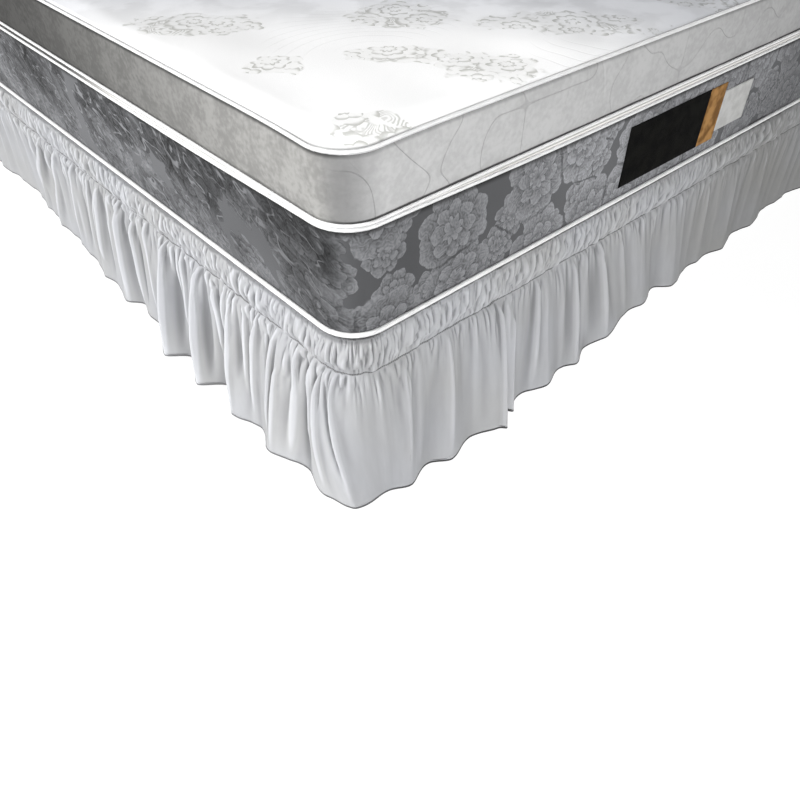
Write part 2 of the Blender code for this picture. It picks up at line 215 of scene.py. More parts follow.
# Creases that run down the drop: raised ones have a height, sunk ones a negative height.
# Walks are counted along the seam from the near corner, shares from the seam (0) to the hem (1).
FOOT_SIDE_CREASES = (
    # from walk, to walk, from share, to share, height, half width
    (0.060, 0.052, 0.02, 1.00, 0.0020, 0.0135),
    (0.078, 0.072, 0.03, 0.95, -0.0025, 0.0135),
    (0.106, 0.106, 0.03, 0.40, -0.0045, 0.0101),
    (0.125, 0.125, 0.03, 0.80, 0.0035, 0.0108),
    (0.167, 0.166, 0.04, 1.00, 0.0040, 0.0121),
    (0.204, 0.200, 0.04, 1.00, -0.0050, 0.0216),
    (0.237, 0.236, 0.03, 1.00, 0.0050, 0.0095),
    (0.270, 0.268, 0.06, 0.95, -0.0030, 0.0230),
    (0.310, 0.310, 0.04, 1.00, 0.0035, 0.0095),
    (0.345, 0.345, 0.03, 0.90, 0.0025, 0.0108),
    (0.361, 0.361, 0.02, 0.35, -0.0035, 0.0088),
    (0.376, 0.362, 0.04, 1.30, 0.0130, 0.0070),
    (0.398, 0.385, 0.04, 1.30, -0.0450, 0.0125),
    (0.424, 0.413, 0.20, 1.30, 0.0090, 0.0085),
    (0.432, 0.446, 0.35, 1.00, -0.0045, 0.0162),
    (0.497, 0.493, 0.03, 1.00, 0.0093, 0.0070),
    (0.518, 0.516, 0.05, 1.00, -0.0050, 0.0162),
    (0.570, 0.570, 0.04, 1.00, 0.0030, 0.0135),
    (0.590, 0.590, 0.04, 1.00, -0.0035, 0.0121),
    (0.610, 0.610, 0.03, 1.00, 0.0093, 0.0070),
    (0.632, 0.632, 0.05, 1.00, -0.0102, 0.0090),
    (0.655, 0.655, 0.03, 0.90, 0.0035, 0.0108),
    (0.680, 0.678, 0.04, 0.95, -0.0055, 0.0149),
    (0.702, 0.702, 0.03, 1.00, 0.0085, 0.0070),
    (0.728, 0.732, 0.05, 0.95, -0.0050, 0.0135),
    (0.780, 0.780, 0.03, 1.00, 0.0040, 0.0108),
    (0.830, 0.835, 0.04, 0.90, 0.0032, 0.0121),
    (0.905, 0.930, 0.06, 0.90, -0.0036, 0.0149),
)
LONG_SIDE_CREASES = (
    # from walk, to walk, from share, to share, height, half width
    (0.048, 0.043, 0.02, 1.00, 0.0110, 0.0095),
    (0.073, 0.047, 0.06, 0.80, -0.0110, 0.0075),
    (0.087, 0.100, 0.03, 0.95, 0.0110, 0.0075),
    (0.104, 0.104, 0.04, 0.35, -0.0120, 0.0075),
    (0.120, 0.134, 0.03, 0.70, 0.0090, 0.0065),
    (0.136, 0.148, 0.05, 0.90, -0.0180, 0.0100),
    (0.160, 0.174, 0.03, 1.00, 0.0120, 0.0080),
    (0.208, 0.204, 0.25, 1.00, 0.0080, 0.0080),
    (0.221, 0.219, 0.05, 0.80, -0.0090, 0.0065),
    (0.231, 0.226, 0.04, 0.80, 0.0090, 0.0065),
    (0.262, 0.246, 0.03, 0.95, -0.0220, 0.0130),
    (0.294, 0.330, 0.03, 1.00, 0.0150, 0.0110),
    (0.343, 0.340, 0.03, 0.70, 0.0060, 0.0065),
    (0.366, 0.360, 0.03, 0.60, -0.0120, 0.0095),
    (0.386, 0.384, 0.02, 1.00, 0.0110, 0.0070),
    (0.413, 0.420, 0.03, 0.40, 0.0080, 0.0070),
    (0.454, 0.446, 0.04, 0.55, -0.0150, 0.0085),
    (0.473, 0.456, 0.03, 0.70, 0.0070, 0.0065),
    (0.495, 0.493, 0.03, 1.00, -0.0140, 0.0095),
    (0.513, 0.513, 0.02, 1.00, 0.0120, 0.0065),
    (0.560, 0.560, 0.03, 0.60, -0.0080, 0.0090),
    (0.588, 0.588, 0.04, 0.70, 0.0080, 0.0070),
    (0.622, 0.622, 0.03, 1.00, -0.0140, 0.0130),
    (0.647, 0.647, 0.02, 1.00, 0.0120, 0.0065),
    (0.700, 0.700, 0.03, 0.60, -0.0100, 0.0110),
    (0.750, 0.745, 0.03, 0.90, 0.0080, 0.0080),
    (0.798, 0.795, 0.03, 0.90, -0.0090, 0.0070),
    (0.815, 0.815, 0.02, 1.00, 0.0100, 0.0070),
    (0.885, 0.875, 0.02, 1.00, 0.0110, 0.0110),
    (0.915, 0.910, 0.05, 0.90, -0.0080, 0.0120),
    (0.965, 0.975, 0.05, 0.90, -0.0090, 0.0120),
    (1.000, 1.005, 0.02, 0.80, 0.0120, 0.0090),
    (1.060, 1.065, 0.04, 0.90, 0.0080, 0.0110),
    (1.110, 1.125, 0.05, 0.95, -0.0090, 0.0130),
    (1.150, 1.180, 0.03, 0.95, 0.0120, 0.0110),
    (1.190, 1.220, 0.05, 1.00, -0.0100, 0.0120),
    (1.255, 1.325, 0.03, 1.00, 0.0140, 0.0130),
    (1.300, 1.365, 0.05, 1.00, -0.0120, 0.0150),
    (1.360, 1.440, 0.03, 1.00, 0.0140, 0.0130),
    (1.420, 1.490, 0.05, 1.00, -0.0100, 0.0150),
)

# ---- Camera, in real sizes ----

CAMERA_FROM_CORNER = (-0.5318, -0.7166, 0.7345)     # from the near lower mattress corner
CORNER_HEIGHT = 0.3408
CAMERA_HEADING = 48.08      # degrees from +X towards +Y
CAMERA_DIP = 43.88          # degrees below the horizon
CAMERA_LENS = 31.905        # mm, on a sensor of 36 mm
SENSOR = 36.0
CAMERA_CLIP = (0.05, 200.0)


# ---- The rounded rectangle that everything follows ----


def stacked(*values):
    """Points from their coordinates, each of them a number or an array."""
    return np.stack(np.broadcast_arrays(*values), axis=-1)


class Rim:
    """A rounded rectangle round the bed, walked counter-clockwise seen from above.

    It lies `inset` inside the mattress. The walk starts in the middle of the near corner
    (-X, -Y) and its length is measured on a path `path_out` outside the rectangle.
    """

    TURNS = np.radians([180.0, 270.0, 0.0, 90.0])
    CORNERS = np.array([(-1, -1), (1, -1), (1, 1), (-1, 1)])
    END_FACING = (0.35, 0.95)   # sines of the direction between which an end takes over

    def __init__(self, inset=0.0, path_out=0.0):
        self.radius = CORNER_RADIUS - inset
        self.centre = HALF - CORNER_RADIUS
        self.arc = (self.radius + path_out) * math.pi / 2
        self.runs = np.tile(2 * self.centre, 2)
        self.ends = np.cumsum(self.runs + self.arc)
        self.length = self.ends[-1]

    def turn(self, walk):
        """Side number, direction in which the rectangle faces, and length of straight run."""
        walk = (walk + self.arc / 2) % self.length
        side = np.minimum(np.searchsorted(self.ends, walk, side="right"), 3)
        local = walk - (self.ends[side] - self.runs[side] - self.arc)
        facing = self.TURNS[side] + math.pi / 2 * np.minimum(local / self.arc, 1.0)
        return side, facing, np.maximum(local - self.arc, 0.0)

    def points(self, walk, out, height):
        """The points at those lengths of the walk, `out` metres outside the rectangle."""
        side, facing, along = self.turn(walk)
        reach = self.radius + out
        corner = self.CORNERS[side] * self.centre
        x = corner[..., 0] + reach * np.cos(facing) - along * np.sin(facing)
        y = corner[..., 1] + reach * np.sin(facing) + along * np.cos(facing)
        return stacked(x, y, height)

    def from_near_corner(self, walk):
        """Walk counted both ways from the near corner, the long side below zero."""
        return (walk + self.length / 2) % self.length - self.length / 2

    def layout(self, walk, height):
        """Places on the flat cloth."""
        return stacked(self.from_near_corner(walk), height)

    def from_corner(self, walk):
        """How far those places are from the middle of the nearest corner."""
        middles = np.concatenate([[0.0], self.ends])
        return np.min(np.abs((np.asarray(walk) % self.length)[..., None] - middles), axis=-1)

    def corner_share(self, walk, reach):
        """1 in the middle of a corner, falling to 0 along the sides."""
        return np.exp(-((self.from_corner(walk) / reach) ** 2))

    def faces_end(self, walk):
        """1 on the foot and head sides, 0 on the long sides, soft round the corners."""
        _, facing, _ = self.turn(walk)
        return smooth(np.abs(np.sin(facing)), *self.END_FACING)


# ---- Waves ----

PUCKER_HEIGHTS = (0.35, 1.0)    # least and most
PUCKER_ROUNDNESS = 2.2          # more makes wider backs and narrower creases
CRINKLE_SHARPNESS = 0.8
CRINKLE_RANGE = 2.6             # from a crease to the highest back


def smooth(value, start, end):
    """0 before start, 1 after end, with a soft passage between them."""
    share = np.clip((value - start) / (end - start), 0.0, 1.0)
    return share * share * (3 - 2 * share)


def bell(value, reach):
    """1 at zero, falling softly to 0 on both sides."""
    return np.exp(-((value / reach) ** 2))


def wave(stations, length, walk, sharpness=1.0):
    """A soft closed wave through stations (walk, value).

    A sharpness below 1 makes its high places narrow and its low places wide.
    """
    at, value = np.array(stations).T
    at = np.concatenate([[at[-1] - length], at, [at[0] + length]])
    value = np.concatenate([[value[-1]], value, [value[0]]])
    walk = np.asarray(walk) % length
    after = np.clip(np.searchsorted(at, walk), 1, len(at) - 1)
    share = (walk - at[after - 1]) / (at[after] - at[after - 1])
    before, ahead = value[after - 1], value[after]
    from_high = np.where(before >= ahead, share, 1.0 - share)
    blend = 0.5 - 0.5 * np.cos(math.pi * from_high ** sharpness)
    high, low = np.maximum(before, ahead), np.minimum(before, ahead)
    return high + (low - high) * blend


def uneven_stations(length, spacing, height, seed):
    """High and low places by turns (walk, value), unevenly spaced round a ring."""
    generator = random.Random(seed)
    stations = []
    walk = 0.0
    side = 1
    while walk < length - spacing[0] / 2:
        stations.append((walk, side * generator.uniform(*height)))
        walk += 0.5 * generator.uniform(*spacing)
        side = -side
    return stations


def puckers(length, walk, spacing, seed):
    """Puckers between about -1 and 1: round ridges with narrow creases between them."""
    heights = wave(uneven_stations(length, spacing, PUCKER_HEIGHTS, seed), length, walk)
    return 1.0 - 2.0 * (0.5 - 0.5 * heights) ** PUCKER_ROUNDNESS


def patchy(length, walk, share, pitch, tall, seed):
    """Soft random values between -1 and 1, in patches of that pitch and share of the height."""
    count = round(length / pitch)
    values = np.random.default_rng(seed).uniform(-1.0, 1.0, (count, math.ceil(1.0 / tall) + 2))
    along = walk % length / length * count
    left = np.floor(along).astype(int)
    low = int(share / tall)
    across = smooth(along - left, 0.0, 1.0)[:, None]
    up = smooth(share / tall - low, 0.0, 1.0)
    near = values[left % count] * (1 - across) + values[(left + 1) % count] * across
    return near[:, low] * (1 - up) + near[:, low + 1] * up


def crinkles(length, walk, share, pitch, tall, seed):
    """Puckers that part and run together, about -1 in their creases to 1 on their backs."""
    rounded = np.abs(patchy(length, walk, share, pitch, tall, seed)) ** CRINKLE_SHARPNESS
    return CRINKLE_RANGE * rounded - 1.0


def ripple(x, y, wavelength, seed, count=7):
    """A soft uneven surface between about -1 and 1."""
    generator = random.Random(seed)
    total = np.zeros(np.broadcast(x, y).shape)
    for _ in range(count):
        heading = generator.uniform(0, math.tau)
        pitch = math.tau / (wavelength * generator.uniform(0.7, 1.5))
        along = x * math.cos(heading) + y * math.sin(heading)
        total += np.sin(pitch * along + generator.uniform(0, math.tau))
    return total / math.sqrt(count)


def uneven(x, y, amount, wavelength, seed):
    """A factor that wanders about 1 by that amount."""
    return 1.0 + amount * ripple(x, y, wavelength, seed)


# ---- Meshes ----


def add_object(name, data):
    obj = bpy.data.objects.new(name, data)
    bpy.context.scene.collection.objects.link(obj)
    return obj


def mesh_object(name, points, faces, layout, shares=None, length=None):
    """A smooth object of those points and faces.

    layout is the place of each point on the flat cloth, in metres. Where the cloth goes all
    round the bed, it is `length` long and its ends meet at the corner away from the camera.
    shares holds further named values of each point that the material reads.
    """
    mesh = bpy.data.meshes.new(name)
    mesh.from_pydata(np.asarray(points, float).reshape(-1, 3).tolist(), [], faces)
    mesh.validate()
    corners = np.zeros(len(mesh.loops), int)
    mesh.loops.foreach_get("vertex_index", corners)
    flat = np.asarray(layout, float).reshape(-1, 2)[corners]
    if length:
        starts = np.zeros(len(mesh.polygons), int)
        mesh.polygons.foreach_get("loop_start", starts)
        furthest = np.maximum.reduceat(flat[:, 0], starts)
        counts = np.diff(np.append(starts, len(flat)))
        behind = np.repeat(furthest, counts) - flat[:, 0] > length / 2
        flat[behind, 0] += length
    uv = mesh.uv_layers.new(name="layout")
    uv.data.foreach_set("uv", flat.ravel())
    for key, values in (shares or {}).items():
        attribute = mesh.attributes.new(key, "FLOAT", "POINT")
        attribute.data.foreach_set("value", np.asarray(values, float).ravel())
    mesh.shade_smooth()
    return add_object(name, mesh)


def dress(piece, node, material):
    """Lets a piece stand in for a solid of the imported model."""
    piece.data.materials.append(material)
    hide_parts(node)
    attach(piece, "root")


def ring_faces(rows, columns, start=0, downwards=False):
    """Quads of a band of rows, each a closed ring of columns, seen from outside."""
    row, column = np.meshgrid(np.arange(rows - 1), np.arange(columns), indexing="ij")
    ahead = (column + 1) % columns
    quads = np.stack([
        row * columns + column,
        row * columns + ahead,
        (row + 1) * columns + ahead,
        (row + 1) * columns + column,
    ], axis=-1).reshape(-1, 4) + start
    return (quads[:, ::-1] if downwards else quads).tolist()


def grid_faces(columns, rows):
    """Quads between the points of an open grid."""
    grid = np.arange(columns * rows).reshape(columns, rows)
    quads = np.stack([grid[:-1, :-1], grid[1:, :-1], grid[1:, 1:], grid[:-1, 1:]], axis=-1)
    return quads.reshape(-1, 4)


def wall_faces(edge, other):
    """Quads between two closed rows of points."""
    return stacked(edge, other, np.roll(other, -1), np.roll(edge, -1)).tolist()


def boundary(columns, rows):
    """Numbers of a grid's outer points, counter-clockwise from its (-X, -Y) corner."""
    grid = np.arange(columns * rows).reshape(columns, rows)
    return np.concatenate([grid[:-1, 0], grid[-1, :-1], grid[:0:-1, -1], grid[0, :0:-1]])


# ---- Materials ----

FLOWER_SCATTER = 0.75       # how far flowers stand off an even grid, 1 at the most
PETAL_TURN = 4.0            # half waves of a flower's outline for each radian round it
PETAL_ROWS = (
    # rim of the row, bulge of its petals, in steps from the flower's middle
    (0.45, 0.25),
    (1.15, 0.35),
    (1.95, 0.45),
)


class Value:
    """What a node gives out. Numbers among them have plain arithmetic."""

    def __init__(self, finish, socket):
        self.finish = finish
        self.socket = socket

    def __add__(self, other):
        return self.finish.math("ADD", self, other)

    def __sub__(self, other):
        return self.finish.math("SUBTRACT", self, other)

    def __rsub__(self, other):
        return self.finish.math("SUBTRACT", other, self)

    def __mul__(self, other):
        return self.finish.math("MULTIPLY", self, other)

    def __abs__(self):
        return self.finish.math("ABSOLUTE", self)


class Finish:
    """A material whose colour and relief are worked out by nodes."""

    def __init__(self, name, roughness, specular):
        self.material = bpy.data.materials.new(name)
        self.material.use_nodes = True
        self.tree = self.material.node_tree
        self.shader = self.tree.nodes["Principled BSDF"].inputs
        self.shader["Roughness"].default_value = roughness
        self.shader["Specular IOR Level"].default_value = specular

    def feed(self, socket, value):
        if isinstance(value, Value):
            self.tree.links.new(value.socket, socket)
        else:
            socket.default_value = value

    def node(self, kind, inputs=(), **settings):
        """The outputs of a new node."""
        node = self.tree.nodes.new(kind)
        for key, value in settings.items():
            setattr(node, key, value)
        for key, value in dict(inputs).items():
            self.feed(node.inputs[key], value)
        return node.outputs

    def value(self, kind, inputs=(), output=0, **settings):
        return Value(self, self.node(kind, inputs, **settings)[output])

    def layout(self):
        """The place on the flat cloth, in metres."""
        return self.value("ShaderNodeUVMap", uv_map="layout")

    def place(self):
        """The place in the part's frame, in metres."""
        return self.value("ShaderNodeTexCoord", output="Object")

    def share(self, name):
        """A value that the mesh holds at its points."""
        return self.value("ShaderNodeAttribute", output="Fac", attribute_name=name)

    def parts(self, vector):
        return [Value(self, part) for part in self.node("ShaderNodeSeparateXYZ", {0: vector})]

    def math(self, operation, first, second=0.0):
        return self.value("ShaderNodeMath", {0: first, 1: second}, operation=operation)

    def most(self, first, second):
        return self.math("MAXIMUM", first, second)

    def zigzag(self, value, height):
        return self.math("PINGPONG", value, height)

    def stretch(self, vector, size):
        return self.value("ShaderNodeVectorMath", {0: vector, 1: size}, operation="MULTIPLY")

    def shift(self, vector, other):
        return self.value("ShaderNodeVectorMath", {0: vector, 1: other}, operation="ADD")

    def noise(self, vector, pitch, detail=2.0, output="Fac"):
        inputs = {"Vector": vector, "Scale": 1.0 / pitch, "Detail": detail}
        return self.value("ShaderNodeTexNoise", inputs, output)

    def warp(self, vector, pitch, amount):
        """The places moved to and fro by that amount."""
        moved = self.noise(vector, pitch, 1.0, "Color")
        centred = self.shift(moved, (-0.5, -0.5, -0.5))
        return self.shift(vector, self.stretch(centred, (2 * amount,) * 3))

    def cells(self, vector, pitch, feature="F1", evenness=1.0):
        inputs = {"Vector": vector, "Scale": 1.0 / pitch, "Randomness": evenness}
        settings = {"voronoi_dimensions": "2D", "feature": feature}
        return self.value("ShaderNodeTexVoronoi", inputs, "Distance", **settings)

    def rosettes(self, vector, pitch, step):
        """Round flowers of three rows of petals: how far out, 0 to 3, and petal partings."""
        inputs = {"Vector": vector, "Scale": 1.0 / pitch, "Randomness": FLOWER_SCATTER}
        cell = self.node("ShaderNodeTexVoronoi", inputs, voronoi_dimensions="2D")
        middle = self.stretch(Value(self, cell["Position"]), (-1.0, -1.0, -1.0))
        across, up, _ = self.parts(self.shift(vector, middle))
        turn = self.math("ARCTAN2", up, across) * PETAL_TURN
        reach = Value(self, cell["Distance"]) * (pitch / step)
        round_petals = (abs(self.math("SINE", turn)), abs(self.math("COSINE", turn)))
        inner = 0.0
        total = 0.0
        parting = 0.0
        for row, (rim, bulge) in enumerate(PETAL_ROWS):
            petal = round_petals[row % 2]
            outer = petal * bulge + rim
            within = self.value("ShaderNodeMapRange", {"Value": reach, 1: inner, 2: outer})
            inside = self.fall(within, 0.0, 0.1) * parting
            parting = self.most(inside, self.fall(petal, 0.0, 0.35) * within)
            total = within + total
            inner = outer
        return total, parting

    def threads(self, vector, pitch, direction):
        """Fine threads that run across the given direction."""
        inputs = {"Vector": vector, "Scale": math.tau / (20.0 * pitch)}
        return self.value("ShaderNodeTexWave", inputs, bands_direction=direction)

    def step(self, value, start, end, low=0.0, high=1.0):
        """low before start and high after end, softly between them."""
        inputs = {"Value": value, 1: start, 2: end, 3: low, 4: high}
        return self.value("ShaderNodeMapRange", inputs, interpolation_type="SMOOTHSTEP")

    def fall(self, value, start, end, high=1.0):
        """high before start and 0 after end, softly between them."""
        return self.step(value, start, end, high, 0.0)

    def patches(self, vector, pitch, detail=2.0, start=0.3, end=0.7):
        """Soft random patches between 0 and 1."""
        return self.step(self.noise(vector, pitch, detail), start, end)

    def mix(self, share, first, second, blend="MIX"):
        inputs = {0: share, 6: first, 7: second}
        return self.value("ShaderNodeMix", inputs, 2, data_type="RGBA", blend_type=blend)

    def times(self, first, second):
        """One colour multiplied with another."""
        return self.mix(1.0, first, second, "MULTIPLY")

    def layers(self, base, *layers):
        """Layers (share, colour) laid over a colour, one after the other."""
        for share, colour in layers:
            base = self.mix(share, base, colour)
        return base

    def wear(self, colour, relief, depth):
        """Sets the colour and a relief that is `depth` metres high."""
        self.feed(self.shader["Base Color"], colour)
        inputs = {"Height": relief, "Distance": depth, "Strength": 1.0}
        self.feed(self.shader["Normal"], self.value("ShaderNodeBump", inputs))
        return self.material


def grey(value, tint=(1.0, 1.0, 1.0)):
    return (value * tint[0], value * tint[1], value * tint[2], 1.0)


COOL = (0.975, 0.990, 1.035)
WARM = (1.01, 1.0, 0.965)
OLIVE = (1.00, 1.0, 0.86)

SKIRT_ALBEDO = 0.42
WEAVE_PITCH = 0.0011
STITCH_PITCH = 0.0042
STITCHED_LINES = (
    # height, width, darkness
    (SEAM_HEIGHT, 0.0025, 0.88),
    (BAND_TOP - 0.001, 0.0022, 0.70),
)


def skirt_material():
    """Plain woven cotton with a stitched seam and stitched casing, with painted shade and
    highlights.
    """
    m = Finish("skirt_cloth", roughness=0.90, specular=0.10)
    flat = m.layout()
    along, height, _ = m.parts(flat)
    slub = m.noise(m.stretch(flat, (1.0, 0.25, 1.0)), 0.012, 3.0)
    base = m.mix(m.step(slub, 0.3, 0.7), grey(0.955, COOL), grey(1.0, COOL))
    base = m.mix(m.patches(flat, 0.22), base, grey(0.95, WARM), "MULTIPLY")
    base = m.times(base, grey(SKIRT_ALBEDO))
    # Painted shade: darker toward the far end of the foot side and round the next corner.
    far_end_shade = m.step(along, 0.70, 1.50) * m.fall(along, 2.0, 3.0)
    base = m.mix(far_end_shade, base, grey(0.70, WARM), "MULTIPLY")
    # Painted shade in the folds' hollows and painted highlights on their crests, the highlights
    # stronger on the long side.
    hollow = m.share("hollow")
    deep = m.step(hollow, -0.15, 0.95, 0.0, 0.70)
    crest = m.fall(hollow, -0.9, -0.2) * m.step(along, -0.45, 0.06, 0.70, 0.25)
    base = m.layers(base, (deep, grey(0.14, COOL)), (crest, grey(0.66, COOL)))
    dashes = m.zigzag(along, STITCH_PITCH / 2)
    dashes = m.step(dashes, 0.12 * STITCH_PITCH, 0.2 * STITCH_PITCH, 0.45, 1.0)
    for line, width, darkness in STITCHED_LINES:
        stitched = m.fall(abs(height - line), 0.4 * width, width, darkness) * dashes
        base = m.mix(stitched, base, grey(0.08))
    # Painted shadow under the low cord, along the casing's top, stronger on the long side.
    cord_shadow = m.step(height, BAND_TOP - 0.0130, BAND_TOP - 0.0050)
    cord_shadow = cord_shadow * m.step(along, -0.05, 0.15, 0.62, 0.22)
    # Painted shade: a dark line along the hem's edge, lighter along the long side.
    hem_edge_shade = m.fall(height, HEM_HEIGHT + 0.0028, HEM_HEIGHT + 0.0044, 0.92)
    paler = m.fall(along, -0.30, 0.20, 0.45) * m.step(along, -3.0, -2.2)
    hem_edge_shade = hem_edge_shade * (1.0 - paler)
    base = m.layers(base, (cord_shadow, grey(0.10, COOL)), (hem_edge_shade, grey(0.035)))
    weave = m.threads(flat, WEAVE_PITCH, "X") + m.threads(flat, WEAVE_PITCH, "Y")
    crinkled = m.noise(m.stretch(flat, (1.0, 0.16, 1.0)), 0.007, 1.0)
    crinkled = crinkled * m.step(height, SEAM_HEIGHT - 0.07, SEAM_HEIGHT)
    return m.wear(base, weave * 0.3 + slub + crinkled * 3.5, 0.0006)


# Two sizes of flowers in the damask, the smaller ones drawn first and hidden by the larger.
DAMASK_FLOWERS = (
    # spacing, step from one row of petals to the next, shift of the pattern
    (0.090, 0.0205, (0.031, 0.017, 0.0)),
    (0.165, 0.0355, (0.000, 0.040, 0.0)),
)


def damask_flowers(m, pattern):
    """Shares of flower, of the outer part of a petal and of the partings between petals."""
    motif = 0.0
    petal = 0.0
    parting = 0.0
    for pitch, step, place in DAMASK_FLOWERS:
        bent = m.warp(m.shift(pattern, place), 0.4 * pitch, 0.06 * pitch)
        bent = m.warp(bent, 0.016, 0.0050)
        rows, lines = m.rosettes(bent, pitch, step)
        apart = m.cells(bent, pitch, "DISTANCE_TO_EDGE", FLOWER_SCATTER)
        flower = m.fall(rows, 2.90, 2.99)
        petal = m.step(flower, 0.0, 1.0, petal, m.math("FRACT", rows))
        lines = m.most(lines, m.fall(apart, 0.008, 0.030))
        parting = m.step(flower, 0.0, 1.0, parting, lines)
        motif = m.most(motif, flower)
    return motif, petal, parting


def damask_veins(m, pattern):
    """Thin pale lines over the flowers of the long side."""
    streaky = m.stretch(m.warp(pattern, 0.030, 0.008), (0.50, 1.0, 1.0))
    veins = m.fall(m.zigzag(m.noise(streaky, 0.034, 1.5), 0.090), 0.004, 0.024)
    return veins * m.patches(pattern, 0.030, 1.0, 0.36, 0.60)


def border_seams(m, base, along, height, end):
    """The border's colour with painted shadows along its cords, the pale strip between two of
    them and painted shade over that strip along the long side.
    """
    above = m.share("above_seam")
    from_shadow_line = abs(height - (UPPER_PIPING["axis"] - 0.0063))
    strip_shade = m.step(above, 0.0, 0.0010) * m.fall(end, 0.0, 0.5, 0.95)
    # Painted shadow under the middle cord, painted shade above the low cord, the pale strip, a
    # painted shadow line under the upper cord, and painted shade over the strip along the long
    # side away from the near corner.
    return m.layers(
        base,
        (m.step(above, -0.0170, -0.0060, 0.0, 0.80), grey(0.012)),
        (m.fall(height, MATTRESS_LOW + 0.0090, MATTRESS_LOW + 0.0135, 0.55), grey(0.020)),
        (m.step(above, 0.0, 0.0008), grey(0.80, WARM)),
        (m.fall(from_shadow_line, 0.0010, 0.0020, 0.50) * m.step(above, 0.0035, 0.0050), grey(0.04)),
        (strip_shade * m.fall(along, -0.95, -0.60), grey(0.03)),
    )


def border_material():
    """Silver damask: scalloped flower shapes of many petals on a plain satin ground, with
    painted sheen and shade.
    """
    m = Finish("border_damask", roughness=0.70, specular=0.12)
    flat = m.layout()
    along, height, _ = m.parts(flat)
    end = m.share("faces_end")
    long_side = m.math("MINIMUM", along, 0.0)
    drawn_out = long_side * 0.72 + m.most(along, 0.0)
    slanted = height + long_side * 0.30
    pattern = m.value("ShaderNodeCombineXYZ", {0: drawn_out, 1: slanted})
    motif, petal, parting = damask_flowers(m, pattern)
    wisps = m.zigzag(m.noise(m.warp(pattern, 0.016, 0.005), 0.030, 1.0), 0.060)
    petal = petal * 0.60 + m.step(wisps, 0.008, 0.045) * 0.25
    petal = petal + m.patches(flat, 0.0045, 3.0, 0.35, 0.65) * 0.25 - parting * 0.50
    # Painted sheen and shade: on the long sides a dark figure, lighter toward the bottom, with
    # pale veins on a lighter ground; on the foot and head sides a light figure on a darker
    # ground, darker toward the far end.
    lower = m.step(height, BORDER_TOP - 0.05, MATTRESS_LOW + 0.03, 0.0, 0.75)
    lower = lower + m.step(m.noise(pattern, 0.110, 1.0), 0.38, 0.66, -0.30, 0.40)
    ground = m.mix(end, grey(0.128, COOL), grey(0.102, COOL))
    dark = m.mix(lower, grey(0.012, COOL), grey(0.075, COOL))
    dark = m.mix(end, dark, grey(0.085, COOL))
    end_light = m.mix(m.step(along, 1.0, 1.5), grey(0.310, COOL), grey(0.240, COOL))
    light = m.mix(lower, grey(0.080, COOL), grey(0.230, COOL))
    figure = m.mix(petal, dark, m.mix(end, light, end_light))
    veined = damask_veins(m, pattern) * (0.85 - end * 0.85)
    base = m.mix(motif, ground, m.mix(veined, figure, grey(0.230, COOL)))
    tone_and_corner_shade = m.mix(m.patches(flat, 0.30), grey(0.80), grey(1.08))
    # Painted shade round the near corner.
    tone_and_corner_shade = m.mix(m.fall(abs(along), 0.04, 0.42, 0.45), tone_and_corner_shade, grey(0.2))
    base = border_seams(m, m.times(base, tone_and_corner_shade), along, height, end)
    raised = motif * (petal * 0.6 + 0.4)
    return m.wear(base, raised + m.threads(flat, 0.0012, "Y") * 0.20, 0.0008)


def quilt_side(m, flat, end):
    """Colour of the quilted side, with painted shade and shadows, and its looping stitch lines.
    """
    along, height, _ = m.parts(flat)
    mottle = m.step(m.noise(flat, 0.010, 7.0) + m.noise(flat, 0.060, 4.0), 0.78, 1.22)
    # Painted shade: the long side much darker than the ends, darkest away from the near corner
    # and lighter again toward the head.
    long_side_shade = m.layers(
        grey(0.062, WARM),
        (m.step(along, -1.25, 0.05), grey(0.258, WARM)),
        (m.step(along, -0.40, -0.05), grey(0.262, WARM)),
        (m.fall(along, -1.90, -1.20), grey(0.150, WARM)),
    )
    long_side_shade = m.times(long_side_shade, m.mix(mottle, grey(0.80), grey(1.10)))
    # The end side's grey, with painted shade toward its far end.
    end_grey = m.mix(m.step(along, 0.6, 1.7), grey(0.400), grey(0.330))
    end_grey = m.times(end_grey, m.mix(mottle, grey(0.90), grey(1.04)))
    loops = m.fall(abs(m.noise(flat, 0.105, 0.0) - 0.5), 0.0020, 0.0065) * end
    top_cord = TOP_PIPING["axis"]
    # Painted shadow under the top cord, stronger on the long side.
    under = m.step(height, top_cord - 0.0115, top_cord - 0.0060)
    # Painted shade just above the upper cord, stronger on the ends.
    low_cord = UPPER_PIPING["axis"] + UPPER_PIPING["radius"]
    over = m.fall(height, low_cord + 0.0012, low_cord + 0.0034)
    # Painted shade round the near corner.
    side = m.layers(
        m.mix(end, long_side_shade, end_grey),
        (loops * m.step(along, 0.25, 0.90, 0.24, 0.12), grey(0.10)),
        (m.step(along, -0.045, -0.005) * m.fall(along, 0.0, 0.075, 0.68), grey(0.12)),
        (under * m.step(end, 0.0, 1.0, 0.85, 0.36), grey(0.03)),
        (over * (end * 0.55 + 0.30), grey(0.03)),
    )
    return side, loops


def quilt_sprays(m, place):
    """Share of spray and its drawn lines: flowers inside scrolls."""
    bent = m.warp(place, 0.040, 0.013)
    rows, partings = m.rosettes(m.warp(place, 0.035, 0.006), 0.088, 0.0240)
    rims = m.step(m.math("FRACT", rows), 0.50, 0.92)
    spray = m.step(m.share("spray") - m.cells(bent, 0.036) * 0.35, 0.22, 0.30)
    scrolls = m.fall(m.zigzag(m.noise(bent, 0.040, 0.0), 0.042), 0.008, 0.030)
    curls = scrolls * (m.step(rows, 2.95, 2.99) * 0.8)
    curls = m.most(curls, m.most(rims, partings * 0.6))
    curls = curls * m.patches(place, 0.015, 0.0, 0.30, 0.45)
    faint = m.step(m.noise(place, 0.030), 0.30, 0.50, 0.35, 1.0)
    return spray, spray * curls * faint


